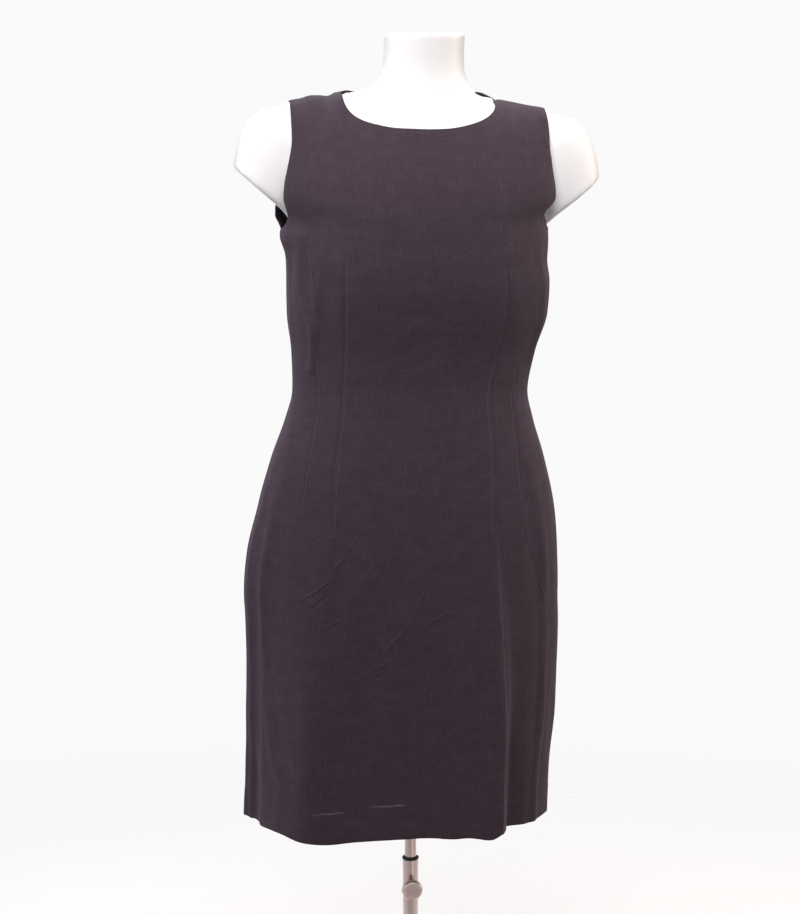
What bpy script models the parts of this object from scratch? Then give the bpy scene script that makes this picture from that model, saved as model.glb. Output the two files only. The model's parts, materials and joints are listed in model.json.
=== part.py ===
"""Sleeveless sheath dress worn by a limbless display form on a telescopic pole stand.

The front of the dress faces -Y and the wearer's left side is at +X. The floor is z = 0 and the
pole stands on the origin. Tables and sizes are in millimetres, and every point is turned into
metres when its mesh is made.
"""

import math

import bmesh
import bpy
import numpy as np
from mathutils import Matrix, Vector

MM = 0.001

# ---------------------------------------------------------------- driving sizes of the dress

HEM_HEIGHT = 500.0
UNDERARM_HEIGHT = 1266.0
CLOTH = 1.2
HEM_TURN_UP = 40.0
HEM_CLOTH = 2.2
SEAM_GAP = 0.3

# One row for each horizontal section, from the hem to the underarm. "sway" is the middle of the
# section, "front" and "back" are its depths, and the two "square" values are the powers of its
# rounded outline (2 is an ellipse, more is boxier).
SECTION_COLUMNS = ("height", "sway", "half_width", "front", "back", "front_square", "back_square")
SECTIONS = (
    (500, -10, 196.0, 104, 108, 2.30, 2.20),
    (560, -8, 196.5, 105, 110, 2.30, 2.20),
    (640, -5, 202.0, 106, 112, 2.30, 2.20),
    (720, -6, 201.5, 107, 115, 2.30, 2.20),
    (760, -8, 201.5, 108, 117, 2.30, 2.20),
    (800, -11, 201.5, 108, 119, 2.30, 2.25),
    (850, -10, 198.5, 108, 121, 2.30, 2.30),
    (916, -6, 188.0, 107, 117, 2.30, 2.30),
    (978, -4, 172.5, 104, 104, 2.30, 2.30),
    (1025, -2, 157.0, 101, 91, 2.30, 2.25),
    (1062, -1, 149.0, 100, 84, 2.30, 2.20),
    (1110, 3, 153.5, 106, 84, 2.35, 2.20),
    (1160, 8, 163.5, 119, 91, 2.45, 2.25),
    (1200, 9, 165.0, 128, 99, 2.50, 2.30),
    (1230, 6.5, 163.0, 130, 103, 2.50, 2.30),
    (1266, 6.5, 164.0, 129, 104, 2.40, 2.30),
)

# The hem's outline: degrees round from the centre front, the place and the rise of its edge.
# The left corner and the deep fold on the right are where the cloth drops from the long darts.
HEM_COLUMNS = ("angle", "x", "y", "rise")
FRONT_HEM = (
    (-90, -216, 22, 3.0),
    (-74, -203, 6, 2.0),
    (-58, -190, -36, 0.0),
    (-49, -167, -78, -1.5),
    (-41, -143, -102, -7.0),
    (-20, -76, -99, -4.5),
    (0, -18, -96, -3.0),
    (20, 48, -95, -0.5),
    (36, 97, -98, -0.8),
    (41, 111, -98, 2.0),
    (43, 117, -76, 1.0),
    (45, 120, -57, 0.0),
    (57, 140, -52, 0.5),
    (72, 158, -36, 2.5),
    (90, 178, -6, 4.0),
)
BACK_HEM = (
    (-90, -216, 22, 3.0),
    (-68, -199, 62, 0.0),
    (-45, -150, 98, -1.5),
    (-24, -86, 111, -1.0),
    (0, -18, 106, 0.5),
    (24, 50, 111, -1.0),
    (45, 112, 99, 0.0),
    (66, 158, 58, 1.5),
    (90, 178, -6, 4.0),
)
HEM_RISE_REACH = 130.0
DROP_START = 905.0
DROP_POWER = 1.15

# The long dart beside the bust, the short dart near the side seam and the long back dart:
# degrees round from the centre at each height. Above the underarm the long dart's line runs on
# to the point where the neckline meets the shoulder seam.
LONG_DART_LINE = (
    (500, 41.0), (560, 40.2), (670, 37.6), (780, 35.0), (885, 32.0), (960, 34.5),
    (1062, 38.2), (1150, 38.2), (1240, 37.6), (1266, 36.8),
)
SIDE_DART_LINE = (
    (500, 57.0), (700, 54.0), (925, 48.5), (1062, 54.6), (1125, 56.0), (1266, 53.0),
)
BACK_DART_LINE = (
    (500, 34.0), (860, 29.0), (1062, 33.0), (1180, 33.5), (1266, 36.8),
)
LONG_DART_SPAN = (885.0, 1243.0)
SIDE_DART_SPAN = (925.0, 1125.0)
BACK_DART_SPAN = (880.0, 1185.0)
DART_GROOVE = 1.3
DART_FADE = 45.0

# Soft folds: side (-1 is the wearer's right), angle at the top and at the bottom, top and bottom
# height, half width in degrees and how far the cloth stands out.
FOLD_COLUMNS = ("side", "angle_top", "angle_bottom", "top", "bottom", "half_width", "rise")
FRONT_FOLDS = (
    (-1, 65, 60, 1030, 480, 6.0, 3.2),
    (-1, 80, 77, 1000, 480, 5.0, 2.0),
    (1, 57, 68, 1030, 480, 6.0, 3.2),
    (-1, 46, 60, 1300, 1090, 6.0, 2.6),
    (1, 60, 70, 1290, 1100, 6.0, 2.4),
    (-1, 12, 22, 860, 520, 9.0, -2.6),
    (1, 4, 2, 800, 520, 8.0, -2.2),
)
BACK_FOLDS = (
    (-1, 66, 62, 1020, 480, 8.0, 3.0),
    (1, 62, 66, 1020, 480, 8.0, 3.0),
    (-1, 20, 24, 820, 480, 9.0, 3.0),
    (1, 20, 24, 820, 480, 9.0, 3.0),
)

# ---------------------------------------------------------------- shoulders, neckline, armholes

# Height of the shoulder ridge at each distance from its middle, then its lean to one side.
SHOULDER_RIDGE = (
    (0, 1452), (50, 1444), (75, 1434), (97, 1427),
    (130, 1423), (161, 1419.5), (176, 1412), (192, 1392),
)
SHOULDER_LEAN = 0.03
RIDGE_Y = 6.0
CHEST_POWER = 1.85
BACK_POWER = 2.6

# The armhole's edge by its share of the way up from the underarm to the shoulder: half of the
# width across the chest, and how far its edge stands forward of the side, as a share of the depth.
ARMHOLE_COLUMNS = ("rise", "half_width", "fullness")
FRONT_ARMHOLE = (
    (0.00, 164.0, 0.00),
    (0.04, 162.0, 0.14),
    (0.10, 162.0, 0.25),
    (0.17, 165.5, 0.35),
    (0.27, 169.5, 0.42),
    (0.37, 168.5, 0.47),
    (0.47, 165.5, 0.51),
    (0.58, 162.5, 0.54),
    (0.70, 160.0, 0.58),
    (0.85, 160.0, 0.62),
    (1.00, 160.0, 0.64),
)
BACK_ARMHOLE = (
    (0.00, 164.0, 0.00),
    (0.05, 170.0, 0.12),
    (0.10, 175.0, 0.21),
    (0.16, 175.0, 0.31),
    (0.24, 170.0, 0.41),
    (0.40, 163.0, 0.50),
    (0.60, 159.0, 0.56),
    (0.80, 158.0, 0.62),
    (1.00, 160.0, 0.64),
)
# How far the middle of the dress sways to one side between the underarm and the shoulder.
YOKE_SWAY = ((0.0, 0.0), (0.27, 0.5), (0.47, 1.0), (0.6, 2.0), (0.78, 2.5), (1.0, 2.5))

NECK_DROP_FRONT = 36.0
NECK_RISE_BACK = 8.0
NECKLINE_POWER = {-1: 2.6, 1: 2.1}

# ---------------------------------------------------------------- display form

FORM_BOTTOM = 738.0
FORM_EASE = (
    (738, 34), (800, 22), (860, 14), (916, 9), (978, 7),
    (1062, 7), (1120, 7), (1180, 3.5), (1266, 3.0),
)
FORM_UNDER_ROUND = ((738, 26), (741, 14), (748, 6), (762, 0))
FORM_CHEST_HALF_WIDTH = (
    (0.0, 160), (0.08, 160), (0.15, 162), (0.35, 168), (0.7, 173), (1.0, 174),
)
FORM_HEIGHTS = (
    738, 741, 748, 762, 800, 840, 880, 916, 950, 985, 1020, 1062, 1105, 1145, 1185, 1225,
)
FORM_BELOW_RIDGE = 1.4
# The form's hollow on the shoulder beside the neck: its place, half its length and its depth.
NECK_HOLLOW = (90.0, 22.0, 2.0)

# Neck: height, half width, half depth, middle in x and in y.
NECK_SECTIONS = (
    (1388, 104, 62, 10, -2), (1410, 92, 60, 11, -2), (1428, 74, 57, 12, -2), (1443, 60, 54, 14, -3),
    (1462, 52, 51, 15, -4), (1485, 50, 50, 16, -6), (1508, 50, 50, 17, -8),
)
# Shoulder stub: the outer and the inner end of each oval ring, and half its depth.
STUB_COLUMNS = ("outer_x", "outer_z", "inner_x", "inner_z", "half_depth")
STUB_RINGS = (
    (150, 1408, 136, 1397, 12),
    (170, 1412, 128, 1370, 27),
    (188, 1410, 126, 1348, 35),
    (206, 1401, 128, 1330, 39),
    (218, 1385, 134, 1316, 40),
    (226, 1364, 149, 1301, 39),
    (231, 1336, 170, 1284, 37),
)
STUB_MIDDLE = (9.0, 2.0)
STUB_SIDES = 28
FORM_SIDES = 44

# ---------------------------------------------------------------- pole stand

ROUND = 40
BASE_RADIUS = 150.0
BASE_THICK = 6.0
BASE_BEVEL = 2.0
BOSS_RADIUS = 21.0
BOSS_TOP = 16.0
BOSS_BEVEL = 3.0
TUBE_RADIUS = 10.0
TUBE_BORE = 7.7
TUBE_TOP = 442.5
RING_RADIUS = 10.9
RING_BORE = 7.6
RING_HEIGHT = 2.8
RING_EDGE = (0.6, 0.8)
POLE_RADIUS = 7.5
POLE_BOTTOM = 190.0
FLANGE_RADIUS = 34.0
FLANGE_THICK = 4.0
FLANGE_EDGE = 1.0
SOCKET_RADIUS = 12.5
SOCKET_DEPTH = 28.0
SOCKET_BORE = 7.6
CLAMP_HEIGHT = 407.0
CLAMP_BOSS_RADIUS = 7.0
CLAMP_BOSS_REACH = 17.0
CLAMP_BORE = 3.5
CLAMP_BORE_START = 3.0
CLAMP_BOSS_ROOT = 8.3
STEM_RADIUS = 3.1
KNOB_RADIUS = 13.5
KNOB_THICK = 9.0
KNOB_BACK_EDGE = (2.5, 1.5)
KNOB_FACE_EDGE = (2.0, 2.0)
KNOB_FACE_INSET = 5.0
KNOB_CROWN = (0.8, 1.4)
REST_GAP = 0.3

# ---------------------------------------------------------------- zip at the centre back

SLIDER_HEIGHT = 1402.0
SLIDER_SIZE = (5.0, 1.8, 8.0)
BAIL_OUT = 2.6
BAIL_ROOT = 0.6
BAIL_LONG = 5.0
BAIL_WIDE = 1.2
BAIL_GAP_DEEP = 1.8
BAIL_GAP_LONG = 2.8
HINGE_OUT = 1.1
PULL_LONG = 21.0
PULL_WIDE = 5.0
PULL_NECK_WIDE = 3.6
PULL_THICK = 1.0
PULL_TOP = 0.6
PULL_NECK_END = -6.0
PULL_WIDE_START = -12.0
PULL_TIP = (1.2, 1.5)
PULL_SLOT_TOP = -0.5
PULL_SLOT_WIDE = 1.9
PULL_SLOT_LONG = 5.6

# ---------------------------------------------------------------- finishes

FINISHES = {
    "cloth": ((0.052, 0.036, 0.047), 0.85, 0.0),
    "form_white": ((0.90, 0.89, 0.88), 0.45, 0.0),
    "chrome": ((0.78, 0.74, 0.72), 0.16, 1.0),
    "black_ring": ((0.02, 0.02, 0.02), 0.5, 0.0),
    "zip_metal": ((0.05, 0.04, 0.05), 0.4, 0.6),
}


def finish(name):
    """The Principled material of one finish, made once."""
    found = bpy.data.materials.get(name)
    if found:
        return found
    colour, roughness, metallic = FINISHES[name]
    material = bpy.data.materials.new(name)
    material.use_nodes = True
    shader = material.node_tree.nodes["Principled BSDF"]
    shader.inputs["Base Color"].default_value = (*colour, 1.0)
    shader.inputs["Roughness"].default_value = roughness
    shader.inputs["Metallic"].default_value = metallic
    return material


class Curve:
    """A smooth line through the points of a short table, which never swings past them."""

    def __init__(self, places, values):
        self.places = np.array(places, float)
        self.values = np.array(values, float)
        steps = np.diff(self.places)
        slopes = np.diff(self.values) / steps
        self.tangents = np.concatenate([slopes[:1], np.zeros(len(slopes) - 1), slopes[-1:]])
        for i in range(1, len(slopes)):
            if slopes[i - 1] * slopes[i] > 0:
                before, after = 2 * steps[i] + steps[i - 1], steps[i] + 2 * steps[i - 1]
                self.tangents[i] = (before + after) / (before / slopes[i - 1] + after / slopes[i])

    def __call__(self, place):
        place = min(max(place, self.places[0]), self.places[-1])
        i = int(np.clip(np.searchsorted(self.places, place) - 1, 0, len(self.places) - 2))
        step = self.places[i + 1] - self.places[i]
        t = (place - self.places[i]) / step
        return float(
            (2 * t**3 - 3 * t**2 + 1) * self.values[i]
            + (t**3 - 2 * t**2 + t) * step * self.tangents[i]
            + (3 * t**2 - 2 * t**3) * self.values[i + 1]
            + (t**3 - t**2) * step * self.tangents[i + 1]
        )


def curve_of(rows, column=1):
    """A Curve from one column of a table against its first column."""
    return Curve([row[0] for row in rows], [row[column] for row in rows])


def curves_of(columns, rows):
    """A Curve for each named column of a table, against its first column."""
    return {name: curve_of(rows, i) for i, name in enumerate(columns) if i}


section = curves_of(SECTION_COLUMNS, SECTIONS)
front_hem = curves_of(HEM_COLUMNS, FRONT_HEM)
back_hem = curves_of(HEM_COLUMNS, BACK_HEM)
long_dart = curve_of(LONG_DART_LINE)
side_dart = curve_of(SIDE_DART_LINE)
back_dart = curve_of(BACK_DART_LINE)
shoulder_ridge = curve_of(SHOULDER_RIDGE)
armholes = {-1: curves_of(ARMHOLE_COLUMNS, FRONT_ARMHOLE), 1: curves_of(ARMHOLE_COLUMNS, BACK_ARMHOLE)}
yoke_sway = curve_of(YOKE_SWAY)
form_chest_half_width = curve_of(FORM_CHEST_HALF_WIDTH)
form_ease = curve_of(FORM_EASE)
form_under_round = curve_of(FORM_UNDER_ROUND)


def rounded(share, power):
    """Depth of a rounded outline, 1 in the middle and 0 at a share of 1."""
    return max(0.0, 1.0 - min(abs(share), 1.0) ** power) ** (1.0 / power)


def ramp(value, start, end):
    """0 before start, 1 after end, and smooth between them."""
    t = min(max((value - start) / (end - start), 0.0), 1.0)
    return t * t * (3 - 2 * t)


# ---------------------------------------------------------------- shape of the torso and the cloth


def section_point(angle, height, facing, ease=0.0):
    """A point of the horizontal section: facing -1 is the front half, +1 the back half."""
    half_width = section["half_width"](height) - ease
    depth = section["front" if facing < 0 else "back"](height) - ease
    power = section["front_square" if facing < 0 else "back_square"](height)
    share = math.sin(math.radians(angle))
    return Vector((
        section["sway"](height) + half_width * share,
        facing * depth * rounded(share, power),
        height,
    ))


def angle_at_hem(angle, height):
    """The angle at which the front's thread under this place reaches the hem."""
    here = (0.0, long_dart(height), side_dart(height), 90.0)
    there = (0.0, long_dart(HEM_HEIGHT), side_dart(HEM_HEIGHT), 90.0)
    return math.copysign(float(np.interp(abs(angle), here, there)), angle)


def skirt_point(angle, height, facing):
    """The hip's section turning into the hem's folds as the cloth drops."""
    point = section_point(angle, height, facing)
    drop = max(0.0, (DROP_START - height) / (DROP_START - HEM_HEIGHT)) ** DROP_POWER
    hem = front_hem if facing < 0 else back_hem
    end = angle_at_hem(angle, height) if facing < 0 else angle
    place = Vector((hem["x"](end), hem["y"](end), height))
    point = point.lerp(place, min(drop, 1.0))
    point.z += hem["rise"](end) * (1 - ramp(height, HEM_HEIGHT, HEM_HEIGHT + HEM_RISE_REACH))
    return point


def level_shares(level, facing):
    """How far up and how far out the chest's curve is at a level from 0 to 1."""
    power = CHEST_POWER if facing < 0 else BACK_POWER
    turn = level * math.pi / 2
    return math.sin(turn) ** (2 / power), max(math.cos(turn), 0.0) ** (2 / power)


def cloth_chest(level, facing):
    """The dress's half width at the armhole, and that of the fuller chest that carries it."""
    up, _ = level_shares(level, facing)
    armhole = armholes[facing]
    square = section["front_square" if facing < 0 else "back_square"](UNDERARM_HEIGHT)
    half_width = armhole["half_width"](up)
    return half_width, half_width / rounded(armhole["fullness"](up), square)


def yoke_point(share, level, facing, half_width, chest, ease=0.0, below=0.0):
    """A point between the underarm (level 0) and the shoulder ridge (level 1)."""
    height = UNDERARM_HEIGHT
    across = share * half_width
    depth = section["front" if facing < 0 else "back"](height) - ease
    square = section["front_square" if facing < 0 else "back_square"](height)
    up, out = level_shares(level, facing)
    ridge = shoulder_ridge(abs(across)) - below
    lean = SHOULDER_LEAN * across * up
    sway = section["sway"](height) + yoke_sway(up)
    return Vector((
        sway + across,
        RIDGE_Y * up + facing * depth * rounded(across / chest, square) * out,
        height + (ridge - height) * up - lean,
    ))


def neckline_height(across, facing):
    """Height of the neckline's edge at a distance from its middle, before the shoulders' lean."""
    half = armholes[facing]["half_width"](1.0) * math.sin(math.radians(long_dart(UNDERARM_HEIGHT)))
    end = shoulder_ridge(half)
    share = min(abs(across) / half, 1.0)
    if facing < 0:
        return end - NECK_DROP_FRONT * rounded(share, NECKLINE_POWER[-1 if across < 0 else 1])
    return end + NECK_RISE_BACK * (1 - share**2)


def top_level(share, facing, neck_share):
    """The yoke level at which a column ends: the shoulder seam, or the neckline inside it."""
    if abs(share) >= neck_share - 1e-6:
        return 1.0
    across = share * armholes[facing]["half_width"](1.0)
    power = CHEST_POWER if facing < 0 else BACK_POWER
    rise = neckline_height(across, facing) - UNDERARM_HEIGHT
    full = shoulder_ridge(abs(across)) - UNDERARM_HEIGHT
    return math.asin(min(rise / full, 1.0) ** (power / 2)) * 2 / math.pi


def top_share(share, facing, neck_share):
    """Where a column ends: columns crowd to the neckline's corners, where it is steepest."""
    if facing > 0 or abs(share) >= neck_share - 1e-6:
        return share
    turn = abs(share) / neck_share * math.pi / 2
    power = NECKLINE_POWER[-1 if share < 0 else 1]
    return math.copysign(neck_share * math.sin(turn) ** (2 / power), share)


def dart_depth(height, span):
    """How deep a dart's seam line is pressed in: nothing past its two points."""
    low, high = span
    return DART_GROOVE * ramp(height, low, low + DART_FADE) * (1 - ramp(height, high - DART_FADE, high))


def fold_rise(angle, height, folds):
    """How far the soft folds push the cloth out at this place."""
    rise = 0.0
    for side, angle_top, angle_bottom, top, bottom, half_width, out in folds:
        along = (top - height) / (top - bottom)
        if not 0.0 < along <= 1.0:
            continue
        middle = side * (angle_top + (angle_bottom - angle_top) * along)
        away = abs(angle - middle) / half_width
        if away < 1.0:
            rise += out * ramp(along, 0.0, 0.35) * (0.5 + 0.5 * math.cos(math.pi * away))
    return rise


# ---------------------------------------------------------------- grids of the cut pieces

LOWER_ROWS = 25
FRONT_LEVELS = (0.03, 0.08, 0.15, 0.25, 0.37, 0.5, 0.64, 0.77, 0.89, 1.0)
BACK_LEVELS = (0.012, 0.03, 0.06, 0.12, 0.22, 0.36, 0.52, 0.7, 0.82, 0.92, 1.0)
FORM_LEVELS = (0.0, 0.03, 0.08, 0.16, 0.26, 0.38, 0.5, 0.62, 0.74, 0.86, 0.96)
BESIDE_DART = (-4.0, -1.9, 0.0, 1.9, 4.0)
BESIDE_SIDE_DART = (-1.9, 0.0, 1.9)
BESIDE_BACK_DART = (-2.5, 0.0, 2.5)
INNER_COLUMNS = 7
MIDDLE_COLUMNS = 3
OUTER_COLUMNS = 7
BACK_INNER_COLUMNS = 4
ON_THE_DART = 0.5
NORMAL_STEP = 0.004
TURN_UP_STEP = 1.5


def row_heights():
    """Heights of the rows below the underarm: the hem, its turn-up, then even steps."""
    rest = np.linspace(HEM_HEIGHT + HEM_TURN_UP, UNDERARM_HEIGHT, LOWER_ROWS)
    return [HEM_HEIGHT, *rest]


def steps_between(start, end, count):
    """Even steps after start, with the last one at the end."""
    return [start + (end - start) * k / count for k in range(1, count + 1)]


def front_half_angles(height):
    """Columns from the centre front to the side seam, crowded round the two darts."""
    long_one, side_one = long_dart(height), side_dart(height)
    inner = [long_one * k / INNER_COLUMNS for k in range(INNER_COLUMNS - 1)]
    at_long = [long_one + step for step in BESIDE_DART]
    at_side = [side_one + step for step in BESIDE_SIDE_DART]
    between = steps_between(at_long[-1], at_side[0], MIDDLE_COLUMNS)[:-1]
    return inner + at_long + between + at_side + steps_between(at_side[-1], 90, OUTER_COLUMNS)


def front_angles(height):
    half = front_half_angles(height)
    return [-angle for angle in reversed(half[1:])] + half


def back_half_angles(height):
    """Columns from the centre back to the side seam, crowded round the back dart."""
    dart = back_dart(height)
    inner = [dart * k / BACK_INNER_COLUMNS for k in range(BACK_INNER_COLUMNS)]
    at_dart = [dart + step for step in BESIDE_BACK_DART]
    return inner + at_dart + steps_between(at_dart[-1], 90, OUTER_COLUMNS)


def lower_point(angle, height, facing):
    """A point of the cloth's middle layer below the underarm, with its darts and folds."""
    point = skirt_point(angle, height, facing)
    folds = FRONT_FOLDS if facing < 0 else BACK_FOLDS
    out = fold_rise(angle, height, folds)
    if facing < 0:
        for line, span in ((long_dart, LONG_DART_SPAN), (side_dart, SIDE_DART_SPAN)):
            if abs(abs(angle) - line(height)) < ON_THE_DART:
                out -= dart_depth(height, span)
    elif abs(abs(angle) - back_dart(height)) < ON_THE_DART:
        out -= dart_depth(height, BACK_DART_SPAN)
    middle = Vector((section["sway"](height), 0.0, height))
    away = (point - middle).normalized()
    point += away * out * (1 - ramp(abs(angle), 80, 90))
    return point


def yoke_normal(share, level, facing):
    """The chest's outward direction at a place, from its slope across and upward."""
    def at(place, height):
        return yoke_point(place, height, facing, *cloth_chest(height, facing))

    across = at(min(share + NORMAL_STEP, 1.0), level) - at(max(share - NORMAL_STEP, -1.0), level)
    upward = at(share, min(level + NORMAL_STEP, 1.0)) - at(share, max(level - NORMAL_STEP, 0.0))
    return (across.cross(upward) * -facing).normalized()


def panel_grid(angles_at, facing):
    """Rows of points for one panel, from the hem to its top edge, and its normals on the chest."""
    rows, chest_normals = [], []
    for height in row_heights():
        rows.append([lower_point(angle, height, facing) for angle in angles_at(height)])
    shares = [math.sin(math.radians(angle)) for angle in angles_at(UNDERARM_HEIGHT)]
    neck_share = math.sin(math.radians(long_dart(UNDERARM_HEIGHT)))
    for step in FRONT_LEVELS if facing < 0 else BACK_LEVELS:
        row, normals = [], []
        for below in shares:
            top = top_share(below, facing, neck_share)
            share = below + (top - below) * step**2
            level = step * (1 - step * (1 - top_level(top, facing, neck_share)))
            normals.append(tuple(yoke_normal(share, level, facing)))
            point = yoke_point(share, level, facing, *cloth_chest(level, facing))
            folds = FRONT_FOLDS if facing < 0 else BACK_FOLDS
            rise = fold_rise(math.degrees(math.asin(below)), point.z, folds)
            point.y += facing * rise * (1 - abs(below) ** 8)
            row.append(point)
        rows.append(row)
        chest_normals.append(normals)
    for row in rows[: len(row_heights())]:
        for end in (0, -1):
            if abs(abs(angles_at(row[end].z)[end]) - 90) < 1e-6:
                row[end].y += facing * SEAM_GAP / 2
    for point, share in zip(rows[-1], shares):
        if abs(share) >= neck_share - 1e-6:
            point.y += facing * SEAM_GAP / 2
    return rows, np.array(chest_normals)


def grid_normals(rows, outward):
    """Unit normals of a grid of points, pointing away from the body."""
    points = np.array([[tuple(p) for p in row] for row in rows])
    across = np.gradient(points, axis=1)
    upward = np.gradient(points, axis=0)
    normals = np.cross(across, upward) * outward
    return normals / np.linalg.norm(normals, axis=2, keepdims=True)


def cloth_wall(name, rows, chest_normals, outward, seam_columns, centre_column=None):
    """One closed cloth piece: the grid's points moved out and in by half the cloth's thickness."""
    normals = grid_normals(rows, outward)
    lower = len(row_heights())
    normals[lower:] = chest_normals
    for column, direction in seam_columns:
        normals[:lower, column] = (direction, 0.0, 0.0)
    if centre_column is not None:
        normals[:, centre_column, 0] = 0.0
    seam = np.abs(normals[-1, :, 1]) < np.abs(normals[-1, :, 2])
    normals[-1, seam, 1] = 0.0
    normals /= np.linalg.norm(normals, axis=2, keepdims=True)

    points = np.array([[tuple(p) for p in row] for row in rows])
    inward = np.full(points.shape[:2], CLOTH / 2)
    inward[:1] = HEM_CLOTH - CLOTH / 2
    outer = points + normals * CLOTH / 2
    inner = points - normals * inward[:, :, None]
    turn_up = np.array(points[1])
    turn_up = turn_up - normals[1] * (HEM_CLOTH - CLOTH / 2) - (0.0, 0.0, TURN_UP_STEP)
    inner = np.concatenate([inner[:1], turn_up[None], inner[1:]])

    mesh = bmesh.new()
    outer_verts = [[mesh.verts.new(p * MM) for p in row] for row in outer]
    inner_verts = [[mesh.verts.new(p * MM) for p in row] for row in inner]
    for sheet, flip in ((outer_verts, False), (inner_verts, True)):
        for low, high in zip(sheet, sheet[1:]):
            for i in range(len(low) - 1):
                face = [low[i], low[i + 1], high[i + 1], high[i]]
                mesh.faces.new(face[::-1] if flip else face)
    width, top = len(rows[0]) - 1, len(rows) - 1
    for i in range(width):
        j = i + 1
        hem = [inner_verts[0][i], inner_verts[0][j], outer_verts[0][j], outer_verts[0][i]]
        edge = [outer_verts[-1][i], outer_verts[-1][j], inner_verts[-1][j], inner_verts[-1][i]]
        mesh.faces.new(hem)
        mesh.faces.new(edge)
    for column, left in ((0, True), (width, False)):
        outer_edge = [row[column] for row in outer_verts]
        inner_edge = [row[column] for row in inner_verts]
        corner = [inner_edge[0], outer_edge[0], outer_edge[1], inner_edge[2], inner_edge[1]]
        mesh.faces.new(corner if left else corner[::-1])
        for j in range(1, top):
            face = [inner_edge[j + 1], outer_edge[j], outer_edge[j + 1], inner_edge[j + 2]]
            mesh.faces.new(face if left else face[::-1])
    return finished(mesh, name, "cloth")


# ---------------------------------------------------------------- general mesh helpers


def finished(mesh, name, look, guide=False):
    """Turns a bmesh into a named object with its finish, shaded smooth but for sharp edges."""
    bmesh.ops.recalc_face_normals(mesh, faces=mesh.faces)
    data = bpy.data.meshes.new(name)
    mesh.to_mesh(data)
    mesh.free()
    data.shade_smooth()
    data.set_sharp_from_angle(angle=math.radians(40))
    obj = bpy.data.objects.new(name, data)
    data.materials.append(finish(look))
    bpy.context.scene.collection.objects.link(obj)
    if guide:
        obj.hide_render = True
        obj.display_type = "WIRE"
    return obj


def loft(name, rings, look, guide=False, ridged=False):
    """A closed solid through rings of equal length, with flat ends or a ridge across the last."""
    mesh = bmesh.new()
    loops = [[mesh.verts.new(Vector(p) * MM) for p in ring] for ring in rings]
    for low, high in zip(loops, loops[1:]):
        for i in range(len(low)):
            j = (i + 1) % len(low)
            mesh.faces.new([low[i], low[j], high[j], high[i]])
    mesh.faces.new(loops[0][::-1])
    last = loops[-1]
    if not ridged:
        mesh.faces.new(last)
        return finished(mesh, name, look, guide)
    half = len(last) // 2
    mesh.faces.new([last[0], last[1], last[-1]])
    for i in range(1, half - 1):
        mesh.faces.new([last[i], last[i + 1], last[-i - 1], last[-i]])
    mesh.faces.new([last[half - 1], last[half], last[half + 1]])
    return finished(mesh, name, look, guide)


def turned(name, profile, look, guide=False, sides=ROUND):
    """A solid turned about Z from a closed outline of (radius, height); radius 0 is its axis."""
    mesh = bmesh.new()
    loops = []
    for radius, height in profile:
        if radius == 0:
            loops.append([mesh.verts.new((0, 0, height * MM))] * sides)
            continue
        turns = [2 * math.pi * k / sides for k in range(sides)]
        ring = [(radius * math.cos(t) * MM, radius * math.sin(t) * MM, height * MM) for t in turns]
        loops.append([mesh.verts.new(p) for p in ring])
    pairs = list(zip(loops, loops[1:]))
    if profile[0][0] and profile[-1][0]:
        pairs.append((loops[-1], loops[0]))
    for low, high in pairs:
        for i in range(sides):
            j = (i + 1) % sides
            corners = []
            for vert in (low[i], low[j], high[j], high[i]):
                if vert not in corners:
                    corners.append(vert)
            mesh.faces.new(corners)
    return finished(mesh, name, look, guide)


def combine(obj, other, operation):
    """Adds a Boolean of another object, which stays as a hidden guide."""
    modifier = obj.modifiers.new(other.name, "BOOLEAN")
    modifier.operation = operation
    modifier.solver = "EXACT"
    modifier.object = other
    return obj


# ---------------------------------------------------------------- the dress's pieces


def build_front():
    """The front, cut in one piece, with two long and two short darts."""
    rows, chest_normals = panel_grid(front_angles, -1)
    cloth_wall("front_panel", rows, chest_normals, 1, ((0, -1), (-1, 1)))


def build_backs():
    """The two back panels, which meet at the zipped centre back seam."""
    for name, side in (("back_panel_left", 1), ("back_panel_right", -1)):
        def angles_at(height, side=side):
            half = [side * angle for angle in back_half_angles(height)]
            return half if side > 0 else half[::-1]

        rows, chest_normals = panel_grid(angles_at, 1)
        centre = 0 if side > 0 else -1
        for row in rows:
            row[centre].x += side * SEAM_GAP / 2
        seam = -1 if side > 0 else 0
        cloth_wall(name, rows, chest_normals, -1, ((seam, side),), centre)


# ---------------------------------------------------------------- the display form


def form_angles():
    """Even steps from one side of the form to the other."""
    return [180 * k / (FORM_SIDES // 2) - 90 for k in range(FORM_SIDES // 2 + 1)]


def form_ring(height):
    """One closed ring of the form below the underarm."""
    ease = form_ease(height) + form_under_round(height)
    angles = form_angles()
    front = [section_point(angle, height, -1, ease) for angle in angles]
    back = [section_point(angle, height, 1, ease) for angle in reversed(angles[1:-1])]
    return front + back


def form_yoke_ring(level):
    """One closed ring of the form between the underarm and the shoulder ridge."""
    chest = form_chest_half_width(level)
    shares = [math.sin(math.radians(angle)) for angle in form_angles()]
    ease = form_ease(UNDERARM_HEIGHT)
    place, reach, depth = NECK_HOLLOW

    def at(share, facing):
        hollow = depth * level * math.exp(-(((abs(share) * chest - place) / reach) ** 2))
        below = FORM_BELOW_RIDGE * level + hollow
        return yoke_point(share, level, facing, chest, chest + 0.01, ease + 2 * hollow, below)

    return [at(share, -1) for share in shares] + [at(share, 1) for share in reversed(shares[1:-1])]


def ellipse_ring(centre, right, up, wide, tall, sides):
    """One closed oval ring about a centre, in the plane of its two directions."""
    turns = [2 * math.pi * k / sides for k in range(sides)]
    return [centre + right * wide * math.cos(t) + up * tall * math.sin(t) for t in turns]


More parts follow.
